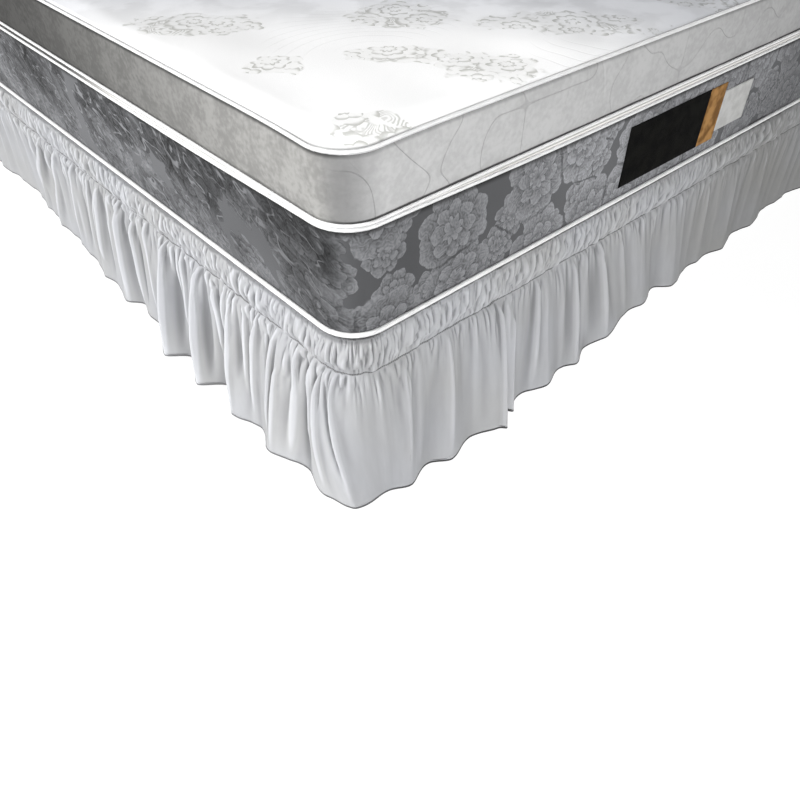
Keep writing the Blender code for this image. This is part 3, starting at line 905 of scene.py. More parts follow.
def quilt_dimming(m, place, right, back):
    """Grey clouds over the top away from the near corner, where the photo shows less glare."""
    clouded = m.mix(m.patches(place, 0.075, 3.0, 0.42, 0.60), grey(0.68, COOL), grey(0.82, COOL))
    near = m.mix(m.step(right + back, -1.40, -0.85), grey(1.0), clouded)
    return m.mix(m.step(right, -0.50, 0.00), near, m.mix(0.5, clouded, grey(0.45, COOL)))


def quilt_material():
    """Quilted knit: plain sides with looping stitch lines, flower sprays on the top, and painted
    shade on the sides and top.
    """
    m = Finish("quilt_knit", roughness=0.90, specular=0.08)
    place = m.place()
    right, back, _ = m.parts(place)
    side, loops = quilt_side(m, m.layout(), m.share("faces_end"))
    spray, drawn = quilt_sprays(m, place)
    zone = m.noise(place, 0.36, 0.0) + m.fall(back, -1.10, -0.80, 0.10)
    contour = m.zigzag(m.noise(place, 0.42, 0.0), 0.018)
    quilting = m.fall(contour, 0.0008, 0.0028) * m.step(zone, 0.58, 0.66)
    cover = m.layers(
        m.mix(m.patches(place, 0.5, 1.0), grey(0.96), grey(0.99)),
        (spray * 0.10, grey(0.50, OLIVE)),
        (drawn * 0.55, grey(0.30, OLIVE)),
        (quilting * 0.12, grey(0.40)),
    )
    cover = m.times(cover, quilt_dimming(m, place, right, back))
    relief = m.noise(place, 0.0016, 1.0) * 0.2 + drawn * 0.3 - loops * 0.5 - quilting * 0.25
    return m.wear(m.mix(m.share("on_top"), side, cover), relief, 0.0012)


def piping_material():
    """White bias-cut cloth over a cord."""
    m = Finish("piping_cord", roughness=0.60, specular=0.25)
    flat = m.layout()
    slanted = m.value("ShaderNodeVectorRotate", {"Vector": flat, "Angle": math.radians(45)})
    base = m.mix(m.patches(flat, 0.05, 3.0), grey(0.80), grey(0.90))
    return m.wear(base, m.threads(slanted, 0.0010, "X"), 0.0003)


LABEL_COLOURS = {
    # node: slot, darkest, lightest
    "label_patch": ("label_dark", (0.002, 0.002, 0.002), (0.006, 0.006, 0.005)),
    "label_strip": ("label_gold", (0.20, 0.100, 0.035), (0.46, 0.25, 0.09)),
    "label_tag": ("label_pale", (0.52, 0.52, 0.51), (0.62, 0.62, 0.61)),
}


def label_material(name):
    """Plain woven satin, bare of any mark."""
    slot, dark, light = LABEL_COLOURS[name]
    m = Finish(slot, roughness=0.85, specular=0.05)
    flat = m.layout()
    cloudy = m.patches(flat, 0.030, 2.0, 0.35, 0.65)
    base = m.mix(cloudy, (*dark, 1.0), (*light, 1.0))
    return m.wear(base, m.threads(flat, 0.0009, "Y") + cloudy * 0.6, 0.0004)


def grained_material(name, roughness, specular, pitch, detail, dark, light, depth):
    """Grey all over, with a fine grain that is `pitch` wide and `depth` high."""
    m = Finish(name, roughness, specular)
    grain = m.noise(m.place(), pitch, detail)
    return m.wear(m.mix(m.step(grain, 0.35, 0.65), grey(dark), grey(light)), grain, depth)


def base_material():
    """Grey non-woven upholstery of the base."""
    return grained_material(
        "base_cloth", roughness=0.90, specular=0.2,
        pitch=0.004, detail=4.0, dark=0.46, light=0.56, depth=0.0006,
    )


def foot_material():
    """Black moulded plastic."""
    return grained_material(
        "foot_plastic", roughness=0.45, specular=0.5,
        pitch=0.0015, detail=2.0, dark=0.022, light=0.034, depth=0.0002,
    )


# ---- The skirt ----

# Crinkles of the casing and of the cloth just under the seam. "tall" is a share of the height.
BROAD_CRINKLES = {"pitch": 0.0150, "tall": 0.55, "seed": 21}
NARROW_CRINKLES = {"pitch": 0.0080, "tall": 0.32, "seed": 22}
FINE_GATHERS = {"pitch": 0.0095, "tall": 0.20, "seed": 31}
COARSE_GATHERS = {"spacing": (0.019, 0.034), "seed": 32}
BULGE_FULLNESS = 0.75       # 1 is a round bulge, less a flatter one with steeper edges
BULGE_UNEVEN = {"amount": 0.25, "wavelength": 0.30, "seed": 5}
SLANT_UNEVEN = {"amount": 0.8, "wavelength": 0.35, "seed": 3}
BROAD_HEIGHT = 0.0040
NARROW_HEIGHT = 0.0033
NARROW_SLANT = 1.6          # the narrow crinkles lean this much more than the broad ones
NARROW_EDGE = 0.10          # share of the casing over which they fade to both its edges
FINE_HEIGHT = 0.0034
FINE_SETS_IN = 0.03         # share of the drop over which the fine gathers set in
FINE_REACH = 0.15           # and over which they fade
FINE_LEAST_REACH = 0.05
FINE_UNEVEN = {"amount": 0.5, "wavelength": 0.07, "seed": 9}
FINE_MORE = (0.0026, 0.04)  # added to that height and reach on the long side
COARSE_HEIGHT = 0.0050
COARSE_SETS_IN = 0.07
COARSE_REACH = 0.26
COARSE_SHARE = (0.4, 0.3)   # of that height among the listed creases, and more beyond them
LIT_SIDE = (-0.04, 0.06)    # walks round the near corner over which the long side begins
DRIFT = 0.010               # how far the gathers wander sideways on their way down
DRIFT_WAVES = {"wavelength": 0.20, "seed": 7}
SEAM_PULL = {"pitch": 0.016, "tall": 1.0, "seed": 25}
PULL_REACH = 0.2            # share of the drop over which a pull of the seam fades


def far_stations(rim, start, end):
    """Crests and hollows (walk, out) of the sides that follow the rule."""
    generator = random.Random(FAR_SEED)
    stations = []
    walk = start
    while walk < end:
        for least, most in (FAR_CREST_OUT, FAR_HOLLOW_OUT):
            flare = FAR_CORNER_OUT * max(0.0, 1.0 - rim.from_corner(walk) / FAR_CORNER_REACH)
            stations.append((walk, generator.uniform(least, most) + flare))
            walk += 0.5 * generator.uniform(*FAR_FOLD_SPACING)
    return [station for station in stations if station[0] < end]


def hem_stations(rim):
    """All crests and hollows of the hem as (walk, out), in order round the ring."""
    foot_side, long_side = (
        [pair for row in folds for pair in (row[:2], row[2:])]
        for folds in (FOOT_SIDE_FOLDS, LONG_SIDE_FOLDS)
    )
    long_side = [(rim.length - walk, out) for walk, out in reversed(long_side)]
    half_fold = 0.5 * sum(FAR_FOLD_SPACING) / 2
    far = far_stations(rim, foot_side[-1][0] + half_fold, long_side[0][0] - half_fold)
    return foot_side + far + long_side


def hem_below(rim, seam):
    """The place of the hem under each place of the seam."""
    pairs = [(-a, -b) for a, b in reversed(LONG_SIDE_LEAN)] + list(FOOT_SIDE_LEAN)
    at, hem = np.array(pairs).T
    signed = rim.from_near_corner(seam)
    shift = sum(
        np.interp(signed + side * LEAN_SMOOTHING, at, hem - at, left=0.0, right=0.0)
        for side in (-1, 0, 1)
    )
    return seam + shift / 3


def growth(share, power):
    """0 at the seam and 1 at the hem, fast at first."""
    start = FOLD_START ** power
    return ((share + FOLD_START) ** power - start) / ((1 + FOLD_START) ** power - start)


def creases(rim, seam, share):
    """Height of the creases that run down the drop."""
    signed = rim.from_near_corner(seam)
    rows = [(1, row) for row in FOOT_SIDE_CREASES] + [(-1, row) for row in LONG_SIDE_CREASES]
    total = np.zeros(signed.shape)
    deepened = min(1.0, growth(share, FOLD_POWER) / growth(TROUGH_SHARE, FOLD_POWER))
    for side, (start, end, first, last, height, width) in rows:
        part = np.clip((share - first) / (last - first), 0.0, 1.0)
        middle = side * (start + (end - start) * part)
        spread = width * (CREASE_TIP + (1 - CREASE_TIP) * smooth(part, 0.0, CREASE_OPENS))
        fade = smooth(share - first, *CREASE_SETS_IN)
        fade *= 1 - smooth(share - last, *CREASE_DIES)
        at_hem = 1.0 if last > 1.0 else CREASE_AT_HEM
        fade *= 1 - (1 - at_hem) * smooth(share, *CREASE_SINKS)
        sunk = deepened if height < 0 else 1.0
        total += height * sunk * fade * bell(signed - middle, spread)
    return total


def band_out(rim, walk, share):
    """How far the casing stands out, share 0 at its top edge and 1 at the seam."""
    slant = BAND_SLANT * uneven(walk, 0.0, **SLANT_UNEVEN) * share
    bulge = np.sin(math.pi * share) ** BULGE_FULLNESS
    broad = crinkles(rim.length, walk + slant, share, **BROAD_CRINKLES)
    narrow = crinkles(rim.length, walk + NARROW_SLANT * slant, share, **NARROW_CRINKLES)
    edges = smooth(share, 0.0, NARROW_EDGE) * (1 - smooth(share, 1 - NARROW_EDGE, 1.0))
    puffed = (BAND_BULGE + BROAD_HEIGHT * broad) * bulge * uneven(walk, 0.0, **BULGE_UNEVEN)
    return TOUCH + puffed + NARROW_HEIGHT * narrow * edges


def columns_of(rim):
    """Places of the columns of cloth round the ring, closer together near the camera."""
    fine = np.linspace(-rim.length / 2, rim.length / 2, COLUMN_SAMPLES)
    far = smooth(np.abs(fine), *NEAR_REACH)
    width = NEAR_COLUMN + (FAR_COLUMN - NEAR_COLUMN) * far
    count = np.concatenate([[0.0], np.cumsum(np.diff(fine) / (0.5 * (width[1:] + width[:-1])))])
    number = round(count[-1])
    places = np.interp(np.arange(number) * count[-1] / number, count, fine)
    return np.sort(places % rim.length)


def mean_depth(folds, length, walk):
    """Depth of the folds at the hem, evened out over a stretch on both sides."""
    places = np.linspace(-MEAN_REACH, MEAN_REACH, MEAN_SAMPLES)
    weights = 1 + np.cos(math.pi * places / MEAN_REACH)
    near = [wave(folds, length, walk + place) for place in places]
    return np.tensordot(weights / weights.sum(), np.array(near), 1)


def fold_depth(rim, folds, walk, share):
    """How far the folds stand out from where the cloth touches the base."""
    hem_walk = hem_below(rim, walk)
    mean = mean_depth(folds, rim.length, hem_walk)
    sharp = wave(folds, rim.length, hem_walk, CREST_SHARPNESS)
    at_hem = wave(folds, rim.length, hem_walk, HEM_SHARPNESS)
    waves = sharp + (at_hem - sharp) * share - mean
    return (mean - TOUCH) * growth(share, FOLD_POWER) + waves * growth(share, WAVE_POWER)


def ridges(rim, walk, share):
    """Height of the ridges by chance, low among the listed creases."""
    signed = rim.from_near_corner(walk)
    chance = smooth(np.abs(signed), *BY_HAND_REACH)
    stations = uneven_stations(rim.length, RIDGE_SPACING, RIDGE_HEIGHT, RIDGE_SEED)
    high = wave(stations, rim.length, walk, RIDGE_SHARPNESS)
    at_hem = 1 - (1 - RIDGE_AT_HEM) * smooth(share, GATHER_ROW, 1.0)
    high = high * smooth(share, 0.0, GATHER_ROW) * at_hem
    full = 1.0 - RIDGES_LEFT - RIDGES_LESS * smooth(signed, *RIDGES_LESS_REACH)
    return high * (RIDGES_LEFT + full * chance)


def gathers(rim, walk, share):
    """Height of the short gathers under the seam."""
    signed = rim.from_near_corner(walk)
    drift = DRIFT * ripple(walk, 0.0, **DRIFT_WAVES) * share
    lit = smooth(-signed, *LIT_SIDE)
    reach = (FINE_REACH + FINE_MORE[1] * lit) * uneven(walk, 0.0, **FINE_UNEVEN)
    fine = crinkles(rim.length, walk + drift, share, **FINE_GATHERS)
    fine = (FINE_HEIGHT + FINE_MORE[0] * lit) * fine * smooth(share, 0.0, FINE_SETS_IN)
    fine = fine * bell(share, np.maximum(reach, FINE_LEAST_REACH))
    coarse = COARSE_HEIGHT * puckers(rim.length, walk - drift, **COARSE_GATHERS)
    coarse = coarse * smooth(share, 0.0, COARSE_SETS_IN) * bell(share, COARSE_REACH)
    chance = smooth(np.abs(signed), *BY_HAND_REACH)
    return fine + coarse * (COARSE_SHARE[0] + COARSE_SHARE[1] * chance)


def drop_out(rim, folds, walk, share):
    """How far the drop stands out, share 0 at the seam and 1 at the hem."""
    above = fold_depth(rim, folds, walk, share) + ridges(rim, walk, share)
    above = above + gathers(rim, walk, share) + creases(rim, walk, share)
    return TOUCH + 0.5 * (above + np.sqrt(above ** 2 + SOFT_STOP ** 2)) - 0.5 * SOFT_STOP


def skirt_rows(rim, folds, walk):
    """Rows (places along the rim, out, height, place on the flat cloth) from top to hem."""
    still = np.full(walk.shape, TOUCH)
    pulled = SEAM_WANDER * patchy(rim.length, walk, 0.0, **SEAM_PULL)
    rows = [
        (walk, still - EDGE_TUCK, BAND_TOP - EDGE_RETURN, BAND_TOP + EDGE_RETURN),
        (walk, still - SEAM_GROOVE, BAND_TOP, BAND_TOP),
    ]
    for share in BAND_ROWS:
        height = BAND_TOP - share * (BAND_TOP - SEAM_HEIGHT)
        rows.append((walk, band_out(rim, walk, share), height + pulled * share, height))
    rows.append((walk, still - SEAM_GROOVE, SEAM_HEIGHT + pulled, SEAM_HEIGHT))
    hem_shift = hem_below(rim, walk) - walk
    for share in DROP_ROWS + (1.0,):
        height = SEAM_HEIGHT - share * (SEAM_HEIGHT - HEM_HEIGHT)
        out = drop_out(rim, folds, walk, share)
        lifted = height + pulled * max(0.0, 1.0 - share / PULL_REACH)
        rows.append((walk + hem_shift * share, out, lifted, height))
    hem, inside = walk + hem_shift, out - CLOTH
    rows.append((hem, inside, HEM_HEIGHT, HEM_HEIGHT - CLOTH))
    rows.append((hem, inside - CLOTH / 2, HEM_HEIGHT + EDGE_RETURN, HEM_HEIGHT - EDGE_RETURN))
    return rows


def hollows(rim, walk, out):
    """How deep each place lies in a fold, -1 on a crest to 1 in a deep hollow."""
    around = np.concatenate([walk - rim.length, walk, walk + rim.length])
    outs = np.tile(out, 3)
    steps = np.diff(around) * 0.5 * (outs[1:] + outs[:-1])
    sums = np.concatenate([[0.0], np.cumsum(steps)])
    total = np.zeros(out.shape)
    for reach, depth in HOLLOW_SCALES:
        ahead = np.interp(walk + reach, around, sums)
        behind = np.interp(walk - reach, around, sums)
        total += ((ahead - behind) / (2 * reach) - out) / depth
    return np.clip(total, -1.0, 1.0)


def make_skirt():
    rim = Rim(BASE_INSET, FLARE_PATH)
    walk = columns_of(rim)
    rows = skirt_rows(rim, hem_stations(rim), walk)
    points = [rim.points(along, out, height) for along, out, height, _ in rows]
    layout = [rim.layout(walk, cloth_height) for *_, cloth_height in rows]
    # The material paints shade in the hollows and highlights on the crests from this share.
    shares = {"hollow": [hollows(rim, walk, out) for _, out, _, _ in rows]}
    faces = ring_faces(len(rows), len(walk), downwards=True)
    skirt = mesh_object("skirt", points, faces, layout, shares, rim.length)
    dress(skirt, "bed_skirt", skirt_material())


# ---- Mattress ----

BORDER_COLUMNS = 860
BORDER_ROWS = 22
STRIP_ROWS = 6
BORDER_SWELL = 0.0012       # unevenness of the filled border
BORDER_FULLNESS = 0.25      # less brings its crown closer to its seams
TIGHT_HEIGHT = 0.0007       # of the puckers along its two seams
TIGHT_REACH = 0.10          # share of its height over which they fade
TIGHT_SPACING = (0.022, 0.050)
TIGHT_SEEDS = (42, 43)      # at the lower and the upper seam
STRIP_SWELL = 0.0022        # of the strip between the two middle cords


def seam_inset(piping, axis_out=PIPING_PROUD):
    return piping["radius"] - axis_out + PIPING_SEAT


def border_rows(rim, walk, seam):
    """Rows (height, out) of the border from its lower to its upper edge."""
    low_in = seam_inset(LOW_PIPING)
    mid_in = seam_inset(MID_PIPING)
    rows = []
    for share in 0.5 - 0.5 * np.cos(math.pi * np.linspace(0, 1, BORDER_ROWS)):
        height = MATTRESS_LOW + (seam - MATTRESS_LOW) * share
        drawn = low_in + (mid_in - low_in) * share
        full = max(math.sin(math.pi * share), 0.0) ** BORDER_FULLNESS
        swell = BORDER_SWELL * ripple(walk, height, wavelength=0.26, seed=41)
        seed = TIGHT_SEEDS[int(share > 0.5)]
        tight = TIGHT_HEIGHT * puckers(rim.length, walk, TIGHT_SPACING, seed)
        tight = tight * bell(min(share, 1 - share), TIGHT_REACH)
        rows.append((height, -drawn * (1 - full) + (swell + tight) * full))
    for share in np.linspace(0, 1, STRIP_ROWS + 1)[1:]:
        height = seam + (BORDER_TOP - seam) * share
        rows.append((height, -mid_in + STRIP_SWELL * math.sin(math.pi * share)))
    return rows


def make_border():
    rim = Rim()
    walk = np.arange(BORDER_COLUMNS) * rim.length / BORDER_COLUMNS
    seam = MID_PIPING["axis"] - MID_SAG * (1.0 - rim.corner_share(walk, SAG_REACH))
    rows = border_rows(rim, walk, seam)
    points = [rim.points(walk, out, height) for height, out in rows]
    layout = [rim.layout(walk, height) for height, _ in rows]
    shares = {
        "above_seam": [height - seam for height, _ in rows],
        "faces_end": [rim.faces_end(walk)] * len(rows),
    }
    faces = ring_faces(len(rows), BORDER_COLUMNS)
    top = (len(rows) - 1) * BORDER_COLUMNS
    faces.append(list(range(BORDER_COLUMNS))[::-1])
    faces.append(list(range(top, top + BORDER_COLUMNS)))
    border = mesh_object("mattress_border", points, faces, layout, shares, rim.length)
    dress(border, "mattress", border_material())


# Flower sprays drawn on the top, those that the camera sees.
SPRAYS = (
    # x, y, half length, half width, strength
    (-0.885, -0.985, 0.065, 0.055, 1.0),
    (-0.843, -0.700, 0.060, 0.055, 0.8),
    (-0.660, -0.795, 0.095, 0.045, 1.0),
    (-0.585, -0.935, 0.085, 0.065, 1.1),
    (-0.830, -0.420, 0.125, 0.065, 1.1),
    (-0.515, -0.635, 0.100, 0.080, 1.0),
    (-0.310, -0.875, 0.180, 0.065, 1.0),
    (0.020, -0.960, 0.110, 0.060, 1.0),
)
SPRAY_TURN = -0.765         # they lie along this direction, in radians
SPRAY_PITCH = 0.300         # spacing of the others, over the rest of the top
SPRAY_DRIFT = 0.04          # how far they stand off their grid
SPRAY_APART = 0.27          # least distance from those in the table
SPRAY_ZONE = 0.47           # they stay within this share of the top's sides from its middle
SPRAY_LENGTH = (0.070, 0.170)
SPRAY_WIDTH = 0.062
SPRAY_SEED = 5
TOP_CELL = 0.0082
CORNER_CELLS = 9
SIDE_ROWS = 17
SIDE_PUFF = 0.0012
TOP_PUFF = 0.0013
PUFF_IN = 0.06              # that puff is reached this far in
TOP_ROLL = 0.0008           # how far the top's edge turns in past the top cord's seam


def axis_places(inner):
    """Places of the grid lines across the top, with the same count in each corner."""
    count = round(2 * inner / TOP_CELL)
    corner = inner + np.linspace(0, CORNER_RADIUS, CORNER_CELLS + 1)[1:]
    return np.concatenate([-corner[::-1], np.linspace(-inner, inner, count + 1), corner])


def rounded_grid():
    """A grid of places that fills the mattress's outline, its corner squares made round."""
    inner = HALF - CORNER_RADIUS
    places = np.meshgrid(*map(axis_places, inner), indexing="ij")
    grid = np.stack(places, axis=-1)
    over = np.clip((np.abs(grid) - inner) / CORNER_RADIUS, 0, 1)
    rounded = over * np.sqrt(1 - over[..., ::-1] ** 2 / 2)
    return np.where(over > 0, np.sign(grid) * (inner + CORNER_RADIUS * rounded), grid)


def inset_of(grid):
    """How far in from the mattress's rounded outline those places are."""
    over = np.maximum(np.abs(grid) - (HALF - CORNER_RADIUS), 0)
    over = np.hypot(over[..., 0], over[..., 1])
    from_sides = np.min(HALF - np.abs(grid), axis=-1)
    return np.where(over > 0, np.minimum(from_sides, CORNER_RADIUS - over), from_sides)


def top_height(inset):
    """Height of the quilted top, by the distance in from its rim."""
    rise = smooth(inset, RISE_FROM, SHOULDER_IN)
    crown = PILLOW_CROWN * smooth(inset, SHOULDER_IN, CROWN_IN)
    return PILLOW_RIM + (PILLOW_SHOULDER - PILLOW_RIM) * rise + crown


def turned(x, y, turn):
    """Those places turned counter-clockwise round the middle of the bed."""
    return x * math.cos(turn) - y * math.sin(turn), x * math.sin(turn) + y * math.cos(turn)


def all_sprays():
    """The sprays in the table and, beyond them, more on an uneven grid."""
    generator = random.Random(SPRAY_SEED)
    sprays = list(SPRAYS)
    count = math.ceil(MATTRESS_LENGTH / SPRAY_PITCH)
    for column in range(-count, count + 1):
        for row in range(-count, count + 1):
            along = (column + 0.5 * (row % 2)) * SPRAY_PITCH
            along += generator.uniform(-SPRAY_DRIFT, SPRAY_DRIFT)
            across = row * SPRAY_PITCH + generator.uniform(-SPRAY_DRIFT, SPRAY_DRIFT)
            x, y = turned(along, across, SPRAY_TURN)
            inside = max(abs(x) / MATTRESS_WIDTH, abs(y) / MATTRESS_LENGTH) < SPRAY_ZONE
            nearest = min(math.hypot(x - spray[0], y - spray[1]) for spray in SPRAYS)
            if inside and nearest > SPRAY_APART:
                sprays.append((x, y, generator.uniform(*SPRAY_LENGTH), SPRAY_WIDTH, 1.0))
    return sprays


def spray_share(x, y):
    """1 in the middle of each flower spray, 0 away from them."""
    total = np.zeros(x.shape)
    for spray_x, spray_y, length, width, strength in all_sprays():
        along, across = turned(x - spray_x, y - spray_y, -SPRAY_TURN)
        near = np.exp(-((along / length) ** 2 + (across / width) ** 2))
        total = np.maximum(total, strength * near)
    return total


def side_profile():
    """Rows (height, inset, swell) of the pillow-top's side, from its top edge down."""
    top_seam = seam_inset(TOP_PIPING, -TOP_PIPING_IN)
    mid_seam = seam_inset(MID_PIPING)
    high = TOP_PIPING["axis"]
    low = UPPER_PIPING["axis"]
    return np.array([
        (high, top_seam, 1.0),
        (high - 0.0030, top_seam, 1.0),
        (high - 0.0060, 0.0028, 1.0),
        (high - 0.0110, 0.0010, 1.0),
        (high - 0.0250, 0.0000, 0.9),
        (0.5 * (PILLOW_LOW + PILLOW_RIM), -0.0006, 0.5),
        (low + 0.0250, 0.0000, 0.1),
        (low + 0.0100, 0.0010, 0.0),
        (low + 0.0050, 0.0018, 0.0),
        (low, mid_seam, 0.0),
        (PILLOW_LOW, mid_seam, 0.0),
    ])


def side_rows(rim, walk):
    """Rows (out, height) of the pillow-top's side, from its top edge down."""
    profile = side_profile()
    places = np.linspace(0, 1, len(profile))
    swell = CORNER_SWELL * rim.corner_share(walk, SWELL_REACH)
    rows = []
    for height in np.interp(np.linspace(0, 1, SIDE_ROWS), places, profile[:, 0]):
        inward = np.interp(height, profile[::-1, 0], profile[::-1, 1])
        share = np.interp(height, profile[::-1, 0], profile[::-1, 2])
        middle = math.sin(math.pi * (height - PILLOW_LOW) / (TOP_PIPING["axis"] - PILLOW_LOW))
        puffed = ripple(walk, height, wavelength=0.11, seed=53) * max(middle, 0.0) ** 0.5
        rows.append((swell * share - inward + SIDE_PUFF * puffed, height))
    return rows


def make_pillow_top():
    grid = rounded_grid()
    columns, row_count, _ = grid.shape
    x, y = grid[..., 0], grid[..., 1]
    flat_grid = grid.reshape(-1, 2)
    edge = boundary(columns, row_count)
    ring = flat_grid[edge]
    steps = np.linalg.norm(np.roll(ring, -1, axis=0) - ring, axis=1)
    rim = Rim()
    walk = np.concatenate([[0.0], np.cumsum(steps)[:-1]]) * rim.length / steps.sum()
    rows = side_rows(rim, walk)
    inset = inset_of(grid)
    puff = TOP_PUFF * ripple(x, y, wavelength=0.20, seed=51) * smooth(inset, 0.0, PUFF_IN)
    top_in = seam_inset(TOP_PIPING, -TOP_PIPING_IN) + TOP_ROLL
    height = (top_height(inset) + puff).ravel()
    top = np.column_stack([flat_grid * ((HALF - top_in) / HALF), height])
    points = np.concatenate([top] + [rim.points(walk, *row) for row in rows])
    layout = np.concatenate([flat_grid] + [rim.layout(walk, row[1]) for row in rows])
    number, count = len(top), len(edge)
    shares = {
        "faces_end": np.append(np.zeros(number), np.tile(rim.faces_end(walk), len(rows))),
        "on_top": np.arange(len(points)) < number,
        "spray": np.append(spray_share(x, y), np.zeros(len(points) - number)),
    }
    faces = grid_faces(columns, row_count).tolist()
    faces += wall_faces(edge, number + np.arange(count))
    faces += ring_faces(len(rows), count, number, downwards=True)
    faces.append(list(range(len(points) - count, len(points)))[::-1])
    pillow = mesh_object("quilted_top", points, faces, layout, shares, rim.length)
    dress(pillow, "pillow_top", quilt_material())


# ---- Pipings ----

PIPING_COLUMNS = 640
PIPING_SIDES = 10
PIPING_UNEVEN = {"amount": 0.03, "wavelength": 0.05, "seed": 61}   # of a cord's thickness


def make_piping(name, piping, out=PIPING_PROUD, sag=0.0, swell=0.0):
    """A round cord in its cloth, all round the mattress."""
    rim = Rim()
    walk = np.arange(PIPING_COLUMNS) * rim.length / PIPING_COLUMNS
    height = piping["axis"] - sag * (1.0 - rim.corner_share(walk, SAG_REACH))
    proud = out + swell * rim.corner_share(walk, SWELL_REACH)
    radius = piping["radius"] * uneven(walk, 0.0, **PIPING_UNEVEN)
    turns = np.arange(PIPING_SIDES) * math.tau / PIPING_SIDES
    points = [
        rim.points(walk, proud + radius * math.cos(turn), height + radius * math.sin(turn))
        for turn in turns
    ]
    layout = [rim.layout(walk, turn * piping["radius"]) for turn in turns]
    faces = np.array(ring_faces(PIPING_SIDES + 1, PIPING_COLUMNS))
    faces %= PIPING_SIDES * PIPING_COLUMNS
    return mesh_object(name + "_cord", points, faces.tolist(), layout, length=rim.length)


def make_pipings():
    material = piping_material()
    rows = (
        ("piping_low", LOW_PIPING, {}),
        ("piping_mid", MID_PIPING, {"sag": MID_SAG}),
        ("piping_upper", UPPER_PIPING, {}),
        ("piping_top", TOP_PIPING, {"out": -TOP_PIPING_IN, "swell": CORNER_SWELL}),
    )
    for name, piping, options in rows:
        dress(make_piping(name, piping, **options), name, material)


# ---- Label ----

LABEL_CELL = 0.004
LABEL_PUFF = 0.0007
LABEL_UNEVEN = {"amount": 0.5, "wavelength": 0.05, "seed": 71}
LABEL_EDGE = (0.002, 0.014)     # it rises to that puff between these distances from its edge


def make_label_piece(name):
    """A bare satin patch that lies on the border and is sewn down round its edge."""
    low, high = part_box(name)
    width, depth = high.x - low.x, high.z - low.z
    columns, rows = (round(size / LABEL_CELL) + 1 for size in (width, depth))
    across, up = np.linspace(low.x, high.x, columns), np.linspace(low.z, high.z, rows)
    x, z = np.meshgrid(across, up, indexing="ij")
    edge = np.minimum(np.minimum(x - low.x, high.x - x), np.minimum(z - low.z, high.z - z))
    puff = LABEL_PUFF * smooth(edge, *LABEL_EDGE) * uneven(x, z, **LABEL_UNEVEN)
    points = [stacked(x, low.y - puff, z), stacked(x, high.y, z)]
    front = grid_faces(columns, rows)
    outer = boundary(columns, rows)
    faces = front.tolist() + (front[:, ::-1] + x.size).tolist()
    faces += wall_faces(outer, outer + x.size)
    piece = mesh_object(name + "_cloth", points, faces, [stacked(x, z)] * 2)
    dress(piece, name, label_material(name))


# ---- Hard pieces ----


def dress_hard_pieces():
    feet = foot_material()
    base = base_material()
    for name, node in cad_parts.items():
        if name == "bed_base" or name.startswith("foot_"):
            node.data.materials.clear()
            node.data.materials.append(base if name == "bed_base" else feet)


# ---- Studio ----

FLOOR = {"reach": 40.0, "glow": 0.93, "patches": 0.8}
BACKDROP = {"reach": 38.0, "height": 14.0, "sides": 96, "glow": 0.55, "patches": 3.0}
SKY = 0.15
KEY = {"strength": 3.6, "heading": 150.0, "height": 28.0, "softness": 10.0}
FILL = {"power": 55.0, "stands": (-1.95, -2.95, 1.40), "size": 1.0}
NEAR_CORNER = Vector((*-HALF, CORNER_HEIGHT))


def make_paper(name, points, faces, pitch, glow):
    """A pale surface of the studio that shines a little by itself."""
    mesh = bpy.data.meshes.new(name)
    mesh.from_pydata(points, [], faces)
    mesh.shade_smooth()
    m = Finish(name + "_paper", roughness=0.9, specular=0.1)
    m.feed(m.shader["Base Color"], m.mix(m.patches(m.place(), pitch), grey(0.14), grey(0.16)))
    m.shader["Emission Color"].default_value = grey(1.0)
    m.shader["Emission Strength"].default_value = glow
    mesh.materials.append(m.material)
    add_object(name, mesh)


def make_floor():
    reach = FLOOR["reach"]
    corners = [(x * reach, y * reach, 0) for x, y in Rim.CORNERS.tolist()]
    make_paper("floor", corners, [(0, 1, 2, 3)], FLOOR["patches"], FLOOR["glow"])


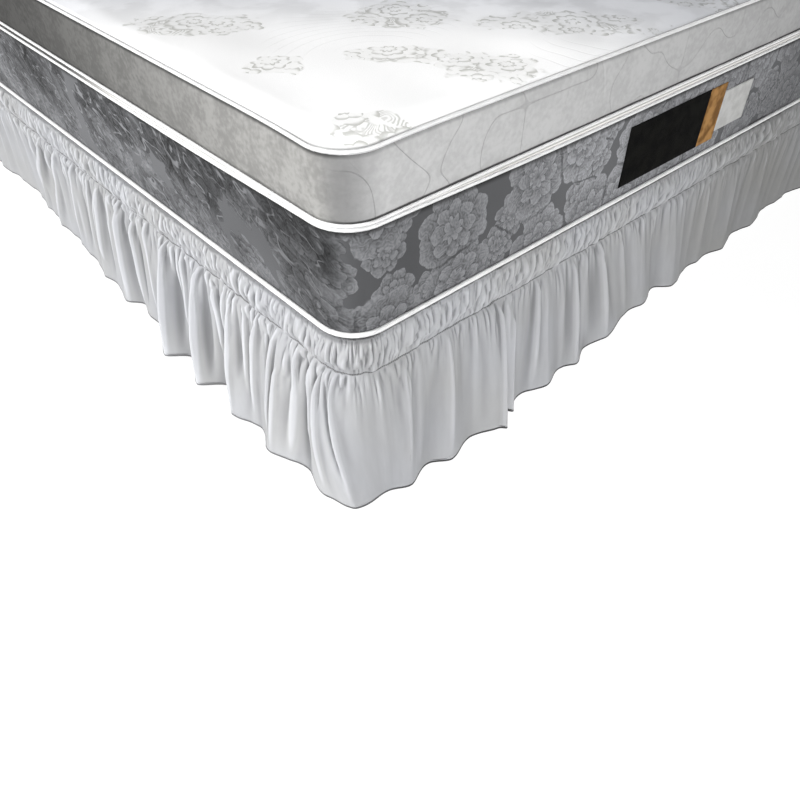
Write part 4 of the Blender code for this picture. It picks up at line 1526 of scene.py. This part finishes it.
def make_backdrop():
    """A pale round wall, far from the bed."""
    reach, sides = BACKDROP["reach"], BACKDROP["sides"]
    turns = [math.tau * side / sides for side in range(sides)]
    points = [
        (reach * math.cos(turn), reach * math.sin(turn), height)
        for height in (0.0, BACKDROP["height"])
        for turn in turns
    ]
    faces = ring_faces(2, sides, downwards=True)
    make_paper("backdrop", points, faces, BACKDROP["patches"], BACKDROP["glow"])


def direction(heading, rise):
    """The direction of that heading and rise above the horizon, in degrees."""
    heading, rise = math.radians(heading), math.radians(rise)
    level = math.cos(rise)
    return Vector((math.cos(heading) * level, math.sin(heading) * level, math.sin(rise)))


def aim(obj, ahead, axis):
    """Turns an object so that its axis points ahead."""
    obj.rotation_mode = "QUATERNION"
    obj.rotation_quaternion = ahead.to_track_quat(axis, "Y")


def add_light(name, kind, place, aims_at, energy):
    lamp = bpy.data.lights.new(name, kind)
    lamp.energy = energy
    light = add_object(name, lamp)
    light.location = place
    aim(light, place - aims_at, "Z")
    return lamp


def make_lights():
    world = bpy.data.worlds.new("studio")
    world.use_nodes = True
    sky = world.node_tree.nodes["Background"].inputs
    sky["Color"].default_value = grey(1.0)
    sky["Strength"].default_value = SKY
    bpy.context.scene.world = world
    stands = direction(KEY["heading"], KEY["height"])
    key = add_light("key", "SUN", stands, Vector(), KEY["strength"])
    key.angle = math.radians(KEY["softness"])
    fill = add_light("fill", "AREA", Vector(FILL["stands"]), NEAR_CORNER, FILL["power"])
    fill.size = FILL["size"]


def make_camera():
    data = bpy.data.cameras.new("camera")
    data.lens = CAMERA_LENS
    data.sensor_width = SENSOR
    data.clip_start, data.clip_end = CAMERA_CLIP
    camera = add_object("camera", data)
    camera.location = NEAR_CORNER + Vector(CAMERA_FROM_CORNER)
    aim(camera, direction(CAMERA_HEADING, -CAMERA_DIP), "-Z")
    bpy.context.scene.camera = camera


def write_sizes():
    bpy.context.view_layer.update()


make_camera()
make_lights()
make_floor()
make_backdrop()
dress_hard_pieces()
make_skirt()
make_border()
make_pillow_top()
make_pipings()
for label in LABEL_COLOURS:
    make_label_piece(label)
bpy.context.scene.view_settings.view_transform = "Standard"
write_sizes()
